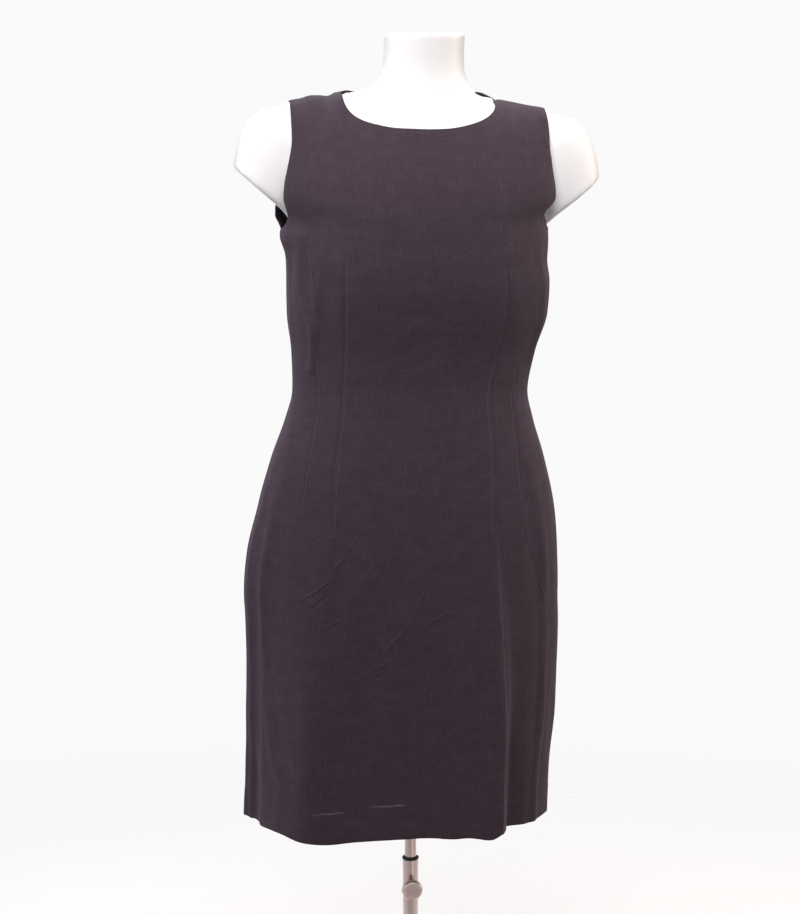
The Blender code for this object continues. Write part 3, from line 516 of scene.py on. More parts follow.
class Panel:
    """One cut piece as a grid: its middle layer's points, outward normals and flat coordinates."""

    def __init__(self, lines_at, columns, facing, folds):
        self.facing = facing
        heights = np.linspace(HEM_HEIGHT, UNDERARM_HEIGHT, LOWER_ROWS)
        places = np.arange(len(lines_at(HEM_HEIGHT)))
        angle_rows = [np.interp(columns, places, lines_at(height)) for height in heights]
        lower = [skirt_row(row, height, facing) for row, height in zip(angle_rows, heights)]
        below = np.sin(np.radians(angle_rows[-1]))
        top = top_share(below, facing)
        ends = top_level(top, facing)
        yoke, yoke_normals = [], []
        for step in even_levels(facing):
            share = below + (top - below) * step**2
            level = step * (1 - step * (1 - ends))
            yoke.append(worn_point(share, level, facing))
            yoke_normals.append(self.slope(share, level))
        self.points = np.array(lower + yoke)
        self.angles = np.array(angle_rows + [np.degrees(np.arcsin(below))] * YOKE_ROWS)
        self.normals = self.grid_normals()
        self.normals[LOWER_ROWS:] = yoke_normals
        self.points += self.normals * self.fold_rise(folds)[..., None]

    def slope(self, share, level):
        """The chest's outward direction at a place, from its slope across and upward."""
        right = worn_point(np.minimum(share + SLOPE_STEP, 1.0), level, self.facing)
        left = worn_point(np.maximum(share - SLOPE_STEP, -1.0), level, self.facing)
        upper = worn_point(share, np.minimum(level + SLOPE_STEP, 1.0), self.facing)
        lower = worn_point(share, np.maximum(level - SLOPE_STEP, 0.0), self.facing)
        normal = np.cross(right - left, upper - lower) * -self.facing
        return normal / np.linalg.norm(normal, axis=-1, keepdims=True)

    def grid_normals(self):
        """Outward directions from the grid's own slopes."""
        normal = np.cross(np.gradient(self.points, axis=1), np.gradient(self.points, axis=0))
        normal /= np.linalg.norm(normal, axis=-1, keepdims=True)
        middle = len(self.points) // 3
        outward = np.sign(normal[middle, :, 1].sum()) == self.facing
        return normal if outward else -normal

    def fold_rise(self, folds):
        """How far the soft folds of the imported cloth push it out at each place."""
        height = self.points[..., 2]
        rise = np.zeros(height.shape)
        for side, angle_top, angle_bottom, top, bottom, half_width, out in folds:
            along = (top - height) / (top - bottom)
            middle = side * (angle_top + (angle_bottom - angle_top) * along)
            off = np.clip(np.abs(self.angles - middle) / half_width, 0, 1)
            inside = (along > 0) & (along <= 1)
            arch = 0.5 + 0.5 * np.cos(math.pi * off)
            rise += inside * out * ramp(along, 0.0, FOLD_START) * arch
        return rise * (1 - ramp(np.abs(self.angles), *SEAM_CALM))

    def unroll(self, centre):
        """Flat coordinates in millimetres: across from a column, and up from the hem."""
        steps = np.linalg.norm(np.diff(self.points, axis=1), axis=2)
        across = np.concatenate([np.zeros((len(steps), 1)), np.cumsum(steps, axis=1)], axis=1)
        self.across = across - across[:, centre : centre + 1]
        if self.points[0, -1, 0] < self.points[0, 0, 0]:
            self.across = -self.across
        rises = np.linalg.norm(np.diff(self.points, axis=0), axis=2)
        self.up = np.concatenate([np.zeros((1, rises.shape[1])), np.cumsum(rises, axis=0)], axis=0)


print("directions are taken over", SLOPE_STEP, "of the way across and up")

# %% [markdown]
# ## Cutting the front and the two backs
# The front is one piece with four darts, and the back two pieces that meet at the zip. The large
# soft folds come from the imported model's own table, so that the fine cloth lies where the solid
# one does. Each row has the side, the angle above and below, the top and the bottom, the half width
# in degrees and how far the fold stands out.

# %% The three panels
FRONT_FOLDS = (
    (-1, 65, 60, 1030, 480, 6.0, 3.2),
    (-1, 80, 77, 1000, 480, 5.0, 2.0),
    (1, 57, 68, 1030, 480, 6.0, 3.2),
    (-1, 46, 60, 1300, 1090, 6.0, 2.6),
    (1, 60, 70, 1290, 1100, 6.0, 2.4),
    (-1, 12, 22, 860, 520, 9.0, -2.6),
    (1, 4, 2, 800, 520, 8.0, -2.2),
)
BACK_FOLDS = (
    (-1, 66, 62, 1020, 480, 8.0, 3.0),
    (1, 62, 66, 1020, 480, 8.0, 3.0),
    (-1, 20, 24, 820, 480, 9.0, 3.0),
    (1, 20, 24, 820, 480, 9.0, 3.0),
)
CENTRE_COLUMN = int(np.searchsorted(FRONT_COLUMNS, 3.0))
SIDES = {"left": 1, "right": -1}

front = Panel(front_lines, FRONT_COLUMNS, -1, FRONT_FOLDS)
front.unroll(CENTRE_COLUMN)
backs = {}
for name, side in SIDES.items():
    backs[name] = Panel(back_lines(side), BACK_COLUMNS, 1, BACK_FOLDS)
    backs[name].unroll(0)
panels = (front, *backs.values())
print("front is", round(float(np.ptp(front.across[0]))), "mm round at the hem and",
      round(float(front.up[-1, CENTRE_COLUMN])), "mm long at the middle")

# %% [markdown]
# ## The wave of the shoulder seams
# The shoulder seams hold four layers of cloth and don't lie quite flat: each has a slight wave, and
# at the neck the back's edge stands up a little before it goes round behind the neck.

# %% Lift the shoulders
SHOULDER_WAVE = line_of((
    (-150, 0.0), (-138, 0.8), (-124, 4.0), (-113, 3.2), (-103, 1.2), (-93, 4.5), (-80, 5.5),
    (-66, 2.5), (-40, 0.0), (0, 0.0), (50, 0.0), (74, 2.5), (86, 4.5), (94, 3.5), (104, 0.8),
    (117, 2.6), (135, 0.8), (150, 0.0),
))
WAVE_START = 1404.0
WAVE_FULL = 1428.0

# How far the back's edge stands up beside the wearer's left corner of the neckline.
BACK_NECK_STAND = line_of(((70, 0.0), (82, 1.3), (93, 3.2), (101, 3.2), (107, 0.0)))

for panel in panels:
    near = ramp(panel.points[..., 2], WAVE_START, WAVE_FULL)
    panel.points[..., 2] += near * SHOULDER_WAVE(panel.points[..., 0])
    if panel.facing > 0:
        panel.points[..., 2] += near * BACK_NECK_STAND(panel.points[..., 0])
print("shoulder seams lifted by up to", SHOULDER_WAVE.values.max(), "mm")

# %% [markdown]
# ## The sides under the arms
# Under each arm the cloth isn't pulled tight: it puffs out beside the bodice at the wearer's right,
# and at the left the armhole is cut in a little. Both panels are pushed by the same amount beside
# their shared seam, so that the seam stays closed.

# %% Push the sides
# Side of the wearer (1 left, -1 right), height, reach and distance outwards.
SIDE_PUSHES = ((-1, 1257, 17, 7.0), (1, 1246, 26, 1.8), (1, 1287, 10, -5.5), (1, 690, 200, 2.6))
SIDE_START = 52
SIDE_FULL = 86

for panel in panels:
    for side, height, reach, out in SIDE_PUSHES:
        beside = ramp(side * panel.angles, SIDE_START, SIDE_FULL)
        panel.points[..., 0] += side * out * beside * bell(panel.points[..., 2] - height, reach)
print(len(SIDE_PUSHES), "pushes beside the side seams")

# %% [markdown]
# ## The hem's own line
# A hem is never quite level on a worn dress. The front's is a little shorter at the wearer's right
# and dips towards the left dart. The lift is one line across the front, which fades out a hand's
# width above the hem, so the skirt's folds keep their places.

# %% Level the hem
HEM_LIFT = line_of((
    (-205, 0.0), (-190, 2.0), (-176, 4.6), (-151, 4.5), (-131, 5.4), (-121, 2.8), (-112, 1.7),
    (-92, 3.2), (-60, 3.0), (-34, 2.3), (-14, 2.3), (15, 1.2), (25, 0.0), (35, -1.7), (45, -2.5),
    (64, -1.3), (81, -3.0), (89, -4.3), (99, -3.7), (107, 0.0), (180, 0.0),
))
HEM_LIFT_REACH = 90.0

near = 1 - ramp(front.points[..., 2], HEM_HEIGHT, HEM_HEIGHT + HEM_LIFT_REACH)
front.points[..., 2] += near * HEM_LIFT(front.points[..., 0])
print("hem lifted by up to", round(float((near * HEM_LIFT(front.points[..., 0])).max()), 1), "mm")

# %% [markdown]
# ## Creases placed one by one
# Worn cloth shows soft ridges and troughs where it is pulled or pressed. A cloth simulation would
# invent its own, so each crease here is one row of a table: a path of places (sideways and up, in
# millimetres, seen from the front), its half width and how far it stands out. Negative ones are
# troughs. Each path is carried over to the cloth's flat coordinates first, because near a side
# seam the cloth turns away and a sideways distance seen from the front would be too short.

# %% The crease tool
PATH_STEP = 4.0
FEWEST_PLACES = 4
END_FADE = 0.3
CREASE_REACH = 3
SOFT_FADE_UP = 150
SOFT_FADE_ROUND = 10


def smooth_path(places):
    """Closely spaced points on a smooth line through a few places, and each one's share along it."""
    places = np.array(places, float)
    lengths = np.linalg.norm(np.diff(places, axis=0), axis=1)
    at = np.concatenate([[0], np.cumsum(lengths)])
    count = max(int(at[-1] / PATH_STEP), FEWEST_PLACES)
    share = np.linspace(0, 1, count)
    if len(places) < 3:
        return np.stack([np.interp(share * at[-1], at, column) for column in places.T], 1), share
    return np.stack([Line(at, column)(share * at[-1]) for column in places.T], 1), share


def flat_path(panel, path):
    """A path seen from the front or back, in the panel's flat coordinates."""
    found = []
    for x, z in path:
        row = int(np.argmin(np.abs(panel.points[:, :, 2] - z).min(axis=1)))
        order = np.argsort(panel.points[row, :, 0])
        across = np.interp(x, panel.points[row, order, 0], panel.across[row, order])
        found.append((across, z))
    return np.array(found)


def crease(panel, places, half_width, out):
    """How far one crease pushes each point of the panel out."""
    path, share = smooth_path(places)
    path = flat_path(panel, path)
    rise = np.zeros(panel.across.shape)
    reach = CREASE_REACH * half_width
    low, high = path.min(axis=0) - reach, path.max(axis=0) + reach
    across, height = panel.across, panel.points[..., 2]
    near = (across > low[0]) & (across < high[0]) & (height > low[1]) & (height < high[1])
    if not near.any():
        return rise
    flat = np.stack([across[near], height[near]], axis=1)
    distance = np.linalg.norm(flat[:, None] - path[None], axis=2)
    nearest = distance.argmin(axis=1)
    at = share[nearest]
    fade = ramp(at, 0, END_FADE) * (1 - ramp(at, 1 - END_FADE, 1))
    rise[near] = out * fade * bell(distance.min(axis=1), half_width)
    return rise


def soften(panel, spread, angles, top):
    """Rounds a corner of the cloth: averages each row over a spread, between some angles."""
    low, high = angles
    for row in range(len(panel.points)):
        at = panel.across[row]
        share = float(1 - ramp(panel.points[row, 0, 2], top - SOFT_FADE_UP, top))
        if share == 0:
            continue
        weight = np.exp(-(((at[:, None] - at[None]) / spread) ** 2) / 2)
        weight = weight * np.abs(np.gradient(at))[None]
        weight /= weight.sum(axis=1, keepdims=True)
        angle = panel.angles[row]
        here = ramp(angle, low, low + SOFT_FADE_ROUND)
        here = here * (1 - ramp(angle, high - SOFT_FADE_ROUND, high)) * share
        mean = weight @ panel.points[row]
        panel.points[row] += (mean - panel.points[row]) * here[:, None]


def add_creases(panel, table):
    """Pushes a panel out by every crease of a table."""
    total = sum(crease(panel, places, half_width, out) for places, half_width, out in table)
    panel.points += panel.normals * total[..., None]


print("creases fade over", END_FADE, "of their length at each end")

# %% [markdown]
# ## The front's creases
# The strongest ones are on the wearer's right, where the bodice bulges beside the armhole and the
# skirt falls from the hip, and under the wearer's left long dart, which runs on to the hem as a
# crisp fold. Fine diagonal creases cross the lap, as on any linen that has been sat in.

# %% Crease the front
FRONT_CREASES = (
    # the bodice's right side, between armhole and waist
    (((-145, 1306), (-143, 1244), (-144, 1205), (-136, 1173), (-132, 1150), (-126, 1080)), 5.8, 2.1),
    (((-152, 1272), (-153, 1199), (-147, 1120)), 6.0, -1.8),
    (((-131, 1268), (-129, 1190)), 3.2, 1.2),
    (((-124, 1258), (-123, 1205)), 2.8, -1.0),
    (((-137, 1222), (-134, 1188)), 3.2, -1.6),
    (((-104, 1278), (-103, 1228)), 6.0, -1.0),
    (((-112, 1262), (-116, 1200)), 5.0, 0.6),
    # from the right side of the waist down over the hip
    (((-150, 1062), (-157, 992), (-163, 970), (-177, 929), (-188, 874), (-193, 809), (-190, 737),
      (-185, 686), (-181, 560)), 8.0, 1.3),
    (((-176, 1010), (-185, 950), (-196, 880)), 6.0, 0.8),
    (((-206, 880), (-208, 662), (-208, 480)), 6.0, 0.9),
    (((-198, 862), (-201, 665), (-199, 470)), 6.0, -1.0),
    (((-190, 690), (-181, 596), (-174, 570), (-183, 470)), 7.0, 1.2),
    (((-172, 700), (-166, 600), (-160, 520)), 9.0, -0.8),
    (((-150, 760), (-146, 640), (-150, 540)), 5.0, 0.5),
    # from the left side of the waist down over the hip
    (((134, 1010), (155, 890), (163, 861), (169, 801), (173, 768), (174, 673), (167, 540)), 6.0, 1.0),
    (((148, 1040), (166, 960), (178, 890)), 6.0, 0.8),
    (((130, 968), (142, 905), (148, 850)), 3.6, -0.7),
    (((152, 800), (156, 700), (150, 560)), 7.0, -0.8),
    (((136, 760), (140, 660), (137, 570)), 4.0, 0.5),
    # short folds where the left side dart pulls
    (((122, 1092), (122, 1026)), 2.2, 0.8),
    (((129, 1090), (129, 1026)), 2.0, 0.9),
    (((138, 1088), (137, 1022)), 2.4, 1.0),
    (((157, 1300), (158, 1228)), 6.0, 1.1),
    # the fold under the left long dart, and the trough at its side
    (((89, 960), (90, 940), (93, 904), (98, 797), (103, 690), (106, 582), (107, 440)), 4.5, 0.25),
    (((98, 950), (103, 880), (107, 797), (112, 690), (115, 582), (116, 440)), 5.0, -1.4),
    # the soft line under the right long dart, to the hem's corner
    (((-103, 950), (-105, 905), (-116, 786), (-127, 646), (-138, 440)), 8.0, 0.7),
    # soft swells that carry the fine creases of the lap
    (((-154, 796), (-120, 822), (-94, 846)), 5.0, 0.6),
    (((-48, 742), (-8, 785), (16, 836)), 5.0, 0.6),
    (((-80, 714), (-26, 736)), 5.0, 0.4),
    (((-60, 640), (-10, 662), (40, 654)), 6.0, 0.4),
    # broad soft troughs in the skirt
    (((-101, 900), (-102, 720), (-102, 500)), 15.0, -1.2),
    (((-25, 760), (-25, 640), (-25, 470)), 12.0, -0.9),
    (((52, 840), (56, 700), (58, 480)), 15.0, 0.8),
    (((14, 620), (12, 560), (16, 500)), 7.0, 0.5),
    # faint drag lines across the waist and under the bust
    (((-86, 1078), (-40, 1066), (6, 1070)), 5.0, -0.4),
    (((-10, 1046), (40, 1038), (84, 1046)), 5.0, -0.4),
    (((-80, 1020), (-30, 1012)), 4.0, 0.35),
    (((-70, 1180), (-20, 1166), (40, 1172)), 12.0, -0.45),
)
HEM_CORNER = (-66.0, -22.0)
HEM_CORNER_SPREAD = 12.0
HEM_CORNER_TOP = 930.0
soften(front, HEM_CORNER_SPREAD, HEM_CORNER, HEM_CORNER_TOP)
add_creases(front, FRONT_CREASES)
print(len(FRONT_CREASES), "creases in the front")

# %% [markdown]
# ## The back's creases
# Nothing shows the back, so it is finished as such a dress wears: short folds across the small of
# the back, where the body is most hollow, soft vertical falls in the skirt, and a drag line from
# each armhole. The two sides are not mirror images, since worn cloth never is.

# %% Crease the backs
BACK_CREASES = {
    "left": (
        (((22, 1088), (62, 1076), (104, 1082)), 6.0, -1.3),
        (((30, 1062), (70, 1052), (120, 1064)), 6.5, 1.5),
        (((18, 1032), (60, 1024), (98, 1034)), 6.0, -1.2),
        (((40, 1008), (84, 1002)), 6.0, 0.9),
        (((148, 1250), (128, 1196), (112, 1150)), 7.0, 1.3),
        (((150, 1010), (166, 900), (172, 760), (168, 560)), 9.0, 1.8),
        (((140, 860), (142, 700), (136, 440)), 10.0, -1.4),
        (((70, 840), (84, 700), (96, 440)), 11.0, 1.6),
        (((36, 760), (34, 620), (30, 440)), 10.0, -1.2),
        (((60, 780), (104, 812)), 5.0, 0.7),
        (((40, 1330), (90, 1322)), 9.0, 0.5),
    ),
    "right": (
        (((-18, 1094), (-58, 1082), (-110, 1092)), 6.5, -1.2),
        (((-24, 1068), (-70, 1056), (-116, 1062)), 6.0, 1.4),
        (((-16, 1040), (-54, 1028), (-92, 1032)), 6.0, -1.0),
        (((-50, 1012), (-96, 1008)), 6.5, 0.8),
        (((-144, 1240), (-122, 1190), (-110, 1140)), 7.0, 1.2),
        (((-152, 1000), (-172, 900), (-186, 760), (-188, 560)), 9.0, 1.7),
        (((-150, 860), (-158, 700), (-160, 440)), 10.0, -1.3),
        (((-78, 850), (-100, 700), (-122, 440)), 11.0, 1.5),
        (((-44, 760), (-52, 620), (-58, 440)), 10.0, -1.1),
        (((-56, 800), (-96, 770)), 5.0, 0.7),
        (((-44, 1326), (-88, 1334)), 9.0, 0.5),
    ),
}
for name, panel in backs.items():
    add_creases(panel, BACK_CREASES[name])
    print(len(BACK_CREASES[name]), "creases in the back's", name)

# %% [markdown]
# ## The uneven hang of the cloth
# Between its creases the cloth still isn't a perfect surface. A noise texture could fake that in
# the shading only. Here a few dozen long faint waves with seeded directions are added to the
# points themselves, mostly running up and down, as cloth hangs.

# %% Uneven hang
HANG_RISE = 0.20
HANG_WAVES = 26
HANG_LENGTH_ACROSS = (28, 110)
HANG_LENGTH_ALONG = (90, 420)
HANG_STRONGER_BELOW = (760, 1000)


def uneven_hang(panel, seed):
    """Faint waves over a panel, longer along the hang than across it, in millimetres."""
    random = np.random.default_rng(seed)
    height = panel.points[..., 2]
    total = np.zeros(height.shape)
    for _ in range(HANG_WAVES):
        across = 2 * math.pi / random.uniform(*HANG_LENGTH_ACROSS) * random.choice((-1, 1))
        along = 2 * math.pi / random.uniform(*HANG_LENGTH_ALONG)
        total += np.sin(across * panel.across + along * height + random.uniform(0, 2 * math.pi))
    skirt = 1 + (1 - ramp(height, *HANG_STRONGER_BELOW))
    return HANG_RISE * total / math.sqrt(HANG_WAVES / 2) * skirt


for number, panel in enumerate(panels):
    panel.points += panel.normals * uneven_hang(panel, SEED + number)[..., None]
print(HANG_WAVES, "waves on each panel")

# %% [markdown]
# ## Seams, darts and turned edges in relief
# A seam is a narrow trough where two edges turn in. A dart is a seam too, and here its spare cloth
# is pressed towards the centre and stitched down, so a flat raised band lies beside the trough.
# Neckline and armholes are turned over a facing, which prints through as a faint ridge a finger's
# width from the edge. The hem is turned up, and its upper edge prints through in the same way.

# %% Relief of the sewing
SEAM_DIP = 1.0
SEAM_WIDTH = 1.7
DART_DIP = 0.65
DART_WIDTH = 0.9
DART_FADE = 30
DART_BAND = 4.6
BAND_RISE = 0.2
BAND_INNER_EDGE = (0.3, 1.5)
BAND_OUTER_EDGE = (DART_BAND - 0.8, DART_BAND + 0.6)
PUCKER_RISE = 0.14
PUCKER_LENGTH = 2.1
PUCKER_DRIFT = 1.7
PUCKER_DRIFT_LENGTH = 23
PUCKER_WIDTH = 7.0
PUFF_RISE = 0.2
PUFF_AWAY = 5.0
PUFF_WIDTH = 4.5


def dart_relief(panel, column, span, toward):
    """A dart's trough, the stitched band towards the centre, and the slight puff beside them."""
    low, high = span
    height = panel.points[..., 2]
    inward = (panel.across - panel.across[:, column : column + 1]) * toward
    on = ramp(height, low, low + DART_FADE) * (1 - ramp(height, high - DART_FADE, high))
    band = ramp(inward, *BAND_INNER_EDGE) * (1 - ramp(inward, *BAND_OUTER_EDGE))
    drift = PUCKER_DRIFT * np.sin(height / PUCKER_DRIFT_LENGTH)
    pucker = PUCKER_RISE * np.sin(height / PUCKER_LENGTH + drift) * bell(inward, PUCKER_WIDTH)
    puff = PUFF_RISE * bell(inward + PUFF_AWAY, PUFF_WIDTH)
    return on * (band * BAND_RISE + pucker + puff - DART_DIP * bell(inward, DART_WIDTH))


FAR_AWAY = 1e6
EDGE_REACH = 30
EDGE_ROLL = 0.35
EDGE_ROLL_WIDTH = 1.4
FACING_WIDTH = 9.0
FACING_RIDGE = 0.2
FACING_DIP = 0.15
FACING_DIP_AWAY = 3.4
FACING_EDGE_WIDTH = 1.8


def edge_relief(panel, edge):
    """The faint ridge where the facing ends, at a finger's width from a turned edge."""
    points = panel.points.reshape(-1, 3)
    distance = np.full(len(points), FAR_AWAY)
    near = points[:, 2] > UNDERARM_HEIGHT - EDGE_REACH
    gaps = np.linalg.norm(points[near][:, None] - edge[None], axis=2)
    distance[near] = gaps.min(axis=1)
    distance = distance.reshape(panel.across.shape)
    ridge = FACING_RIDGE * bell(distance - FACING_WIDTH, FACING_EDGE_WIDTH)
    dip = FACING_DIP * bell(distance - FACING_WIDTH - FACING_DIP_AWAY, FACING_EDGE_WIDTH)
    return ridge - dip - EDGE_ROLL * bell(distance, EDGE_ROLL_WIDTH)


HEM_PULL = 0.45
HEM_PULL_WIDTH = 1.8
HEM_PULL_SWING = 0.25
HEM_PULL_LENGTH = 3.1
HEM_PAD = 0.35
HEM_PAD_EDGE = (-4, -1)


def hem_relief(panel):
    """The turned-up hem's upper edge, pulled in a little by its stitches."""
    up = panel.up - HEM_TURN_UP
    pull = 1 - HEM_PULL_SWING + HEM_PULL_SWING * np.sin(panel.across / HEM_PULL_LENGTH)
    return -HEM_PULL * bell(up, HEM_PULL_WIDTH) * pull + HEM_PAD * (1 - ramp(up, *HEM_PAD_EDGE))


def on_shoulder(panel):
    """Which columns of a panel end at the shoulder seam."""
    return np.abs(panel.angles[-1]) >= float(long_dart(UNDERARM_HEIGHT)) - TINY


def on_neckline(panel):
    """Which columns of a panel end at the neckline."""
    return np.abs(np.sin(np.radians(panel.angles[-1]))) <= NECK_SHARE + TINY


def apply_relief(panel, dart_columns, seam_columns, edges):
    """Adds all the sewing's relief to one panel."""
    total = hem_relief(panel)
    for column, span, toward in dart_columns:
        total += dart_relief(panel, column, span, toward)
    height_rows = np.arange(len(panel.points))[:, None]
    for column, rows in seam_columns:
        away_from = np.abs(panel.across - panel.across[:, column : column + 1])
        total -= SEAM_DIP * bell(away_from, SEAM_WIDTH) * (height_rows < rows)
    for edge in edges:
        total += edge_relief(panel, edge)
    shoulder = np.linalg.norm(panel.points - panel.points[-1:], axis=2)
    total -= SEAM_DIP * bell(shoulder, SEAM_WIDTH) * on_shoulder(panel)[None]
    panel.points += panel.normals * total[..., None]


def column_of(columns, line):
    """The column that runs on one of the cut's own lines."""
    return int(np.searchsorted(columns, line - TINY))


FRONT_DARTS = (
    (column_of(FRONT_COLUMNS, 1), SIDE_DART_SPAN, 1),
    (column_of(FRONT_COLUMNS, 2), LONG_DART_SPAN, 1),
    (column_of(FRONT_COLUMNS, 4), LONG_DART_SPAN, -1),
    (column_of(FRONT_COLUMNS, 5), SIDE_DART_SPAN, -1),
)
BACK_DART_COLUMN = column_of(BACK_COLUMNS, 1)
ALL_ROWS = LOWER_ROWS + YOKE_ROWS

apply_relief(
    front, FRONT_DARTS, ((0, LOWER_ROWS), (len(FRONT_COLUMNS) - 1, LOWER_ROWS)),
    (
        front.points[-1, on_neckline(front)],
        front.points[LOWER_ROWS:, 0],
        front.points[LOWER_ROWS:, -1],
    ),
)
for name, side in SIDES.items():
    panel = backs[name]
    apply_relief(
        panel, ((BACK_DART_COLUMN, BACK_DART_SPAN, -side),),
        ((0, ALL_ROWS), (len(BACK_COLUMNS) - 1, LOWER_ROWS)),
        (panel.points[-1, on_neckline(panel)], panel.points[LOWER_ROWS:, -1]),
    )
print("relief added to", len(panels), "panels")

# %% [markdown]
# ## From grids to closed cloth
# Each panel becomes one closed shell: the grid moved out and in by half the cloth's thickness,
# joined round its rim by an extra row that stands out a little, so that every turned edge catches
# the light as a fold does. A Solidify modifier would make square rims. The flat coordinates go
# into a UV layer named grain, so that the weave follows the threads of the cut piece.

# %% The shell builder
RIM_ROUND = 0.45
NEVER_ZERO = 1e-9


def keep_seams_apart(panel, seam_columns, centre_column=None, side=0):
    """Half of the seam's gap on this panel's own side of every seam."""
    for column in seam_columns:
        panel.points[:LOWER_ROWS, column, 1] += panel.facing * SEAM_GAP / 2
    panel.points[-1, on_shoulder(panel), 1] += panel.facing * SEAM_GAP / 2
    if centre_column is not None:
        panel.points[:, centre_column, 0] += side * SEAM_GAP / 2


def face_alike(panel, column, direction):
    """At a side seam both panels face the same way, so their edges meet without a step."""
    panel.normals[:LOWER_ROWS, column] = direction


def shell(name, panel, look):
    """One closed cloth piece from a panel's grid."""
    rows, columns = panel.across.shape
    normals = panel.normals / np.linalg.norm(panel.normals, axis=2, keepdims=True)
    turned_up = 1 - ramp(panel.up, HEM_TURN_UP - 1, HEM_TURN_UP + 1)
    inward = CLOTH / 2 + (HEM_CLOTH - CLOTH) * turned_up
    outer = panel.points + normals * CLOTH / 2
    inner = panel.points - normals * inward[..., None]

    number = np.arange(rows * columns).reshape(rows, columns)
    border = np.concatenate([
        number[0, :-1], number[:-1, -1], number[-1, :0:-1], number[:0:-1, 0],
    ])
    within = np.concatenate([
        number[1, :-1], number[:-1, -2], number[-2, :0:-1], number[:0:-1, 1],
    ])
    flat_outer, flat_inner = outer.reshape(-1, 3), inner.reshape(-1, 3)
    outward = flat_outer[border] - flat_outer[within]
    outward /= np.linalg.norm(outward, axis=1, keepdims=True) + NEVER_ZERO
    rim = (flat_outer[border] + flat_inner[border]) / 2 + outward * RIM_ROUND
    points = np.concatenate([flat_outer, flat_inner, rim]) * MM

    quads = np.stack([number[:-1, :-1], number[:-1, 1:], number[1:, 1:], number[1:, :-1]], -1)
    quads = quads.reshape(-1, 4)
    after = np.roll(border, -1)
    rim_number = np.arange(len(border)) + 2 * rows * columns
    rim_after = np.roll(rim_number, -1)
    inner_shift = rows * columns
    faces = np.concatenate([
        quads,
        quads[:, ::-1] + inner_shift,
        np.stack([after, border, rim_number, rim_after], -1),
        np.stack([rim_after, rim_number, border + inner_shift, after + inner_shift], -1),
    ])
    mesh = bpy.data.meshes.new(name)
    mesh.from_pydata(points.tolist(), [], faces.tolist())
    flat = np.stack([panel.across, panel.up], axis=-1).reshape(-1, 2) * MM
    flat = np.concatenate([flat, flat, flat[border]])
    corners = np.zeros(len(mesh.loops), np.int32)
    mesh.loops.foreach_get("vertex_index", corners)
    mesh.uv_layers.new(name="grain").data.foreach_set("uv", flat[corners].ravel())
    tidy = bmesh.new()
    tidy.from_mesh(mesh)
    bmesh.ops.recalc_face_normals(tidy, faces=tidy.faces)
    tidy.to_mesh(mesh)
    tidy.free()
    mesh.shade_smooth()
    panel.outer = outer
    print(name, len(faces) * 2, "triangles")
    return scene_object(name, mesh, look)


print("turned edges stand out by", RIM_ROUND, "mm")

# %% [markdown]
# ## Shader maths as Python
# Finishes are built from small sums on numbers that vary over a surface. Written node by node
# they are hard to read, so one small class wraps a node's output and gives it Python's
# arithmetic: an expression such as 1 - mask adds its Math nodes by itself. A second class holds
# one material and has the single method that adds any other node.

# %% Values and looks
class Value:
    """A number or colour that varies over a surface, with Python's arithmetic for numbers."""

    def __init__(self, look, socket):
        self.look = look
        self.socket = socket

    def math(self, operation, first, second):
        return self.look.node("ShaderNodeMath", {"operation": operation}, {0: first, 1: second})

    def through(self, operation):
        """This value through a Math node with one input, such as SINE or ABSOLUTE."""
        return self.look.node("ShaderNodeMath", {"operation": operation}, {0: self})

    def __add__(self, other):
        return self.math("ADD", self, other)

    def __sub__(self, other):
        return self.math("SUBTRACT", self, other)

    def __rsub__(self, other):
        return self.math("SUBTRACT", other, self)

    def __mul__(self, other):
        return self.math("MULTIPLY", self, other)

    __radd__ = __add__
    __rmul__ = __mul__


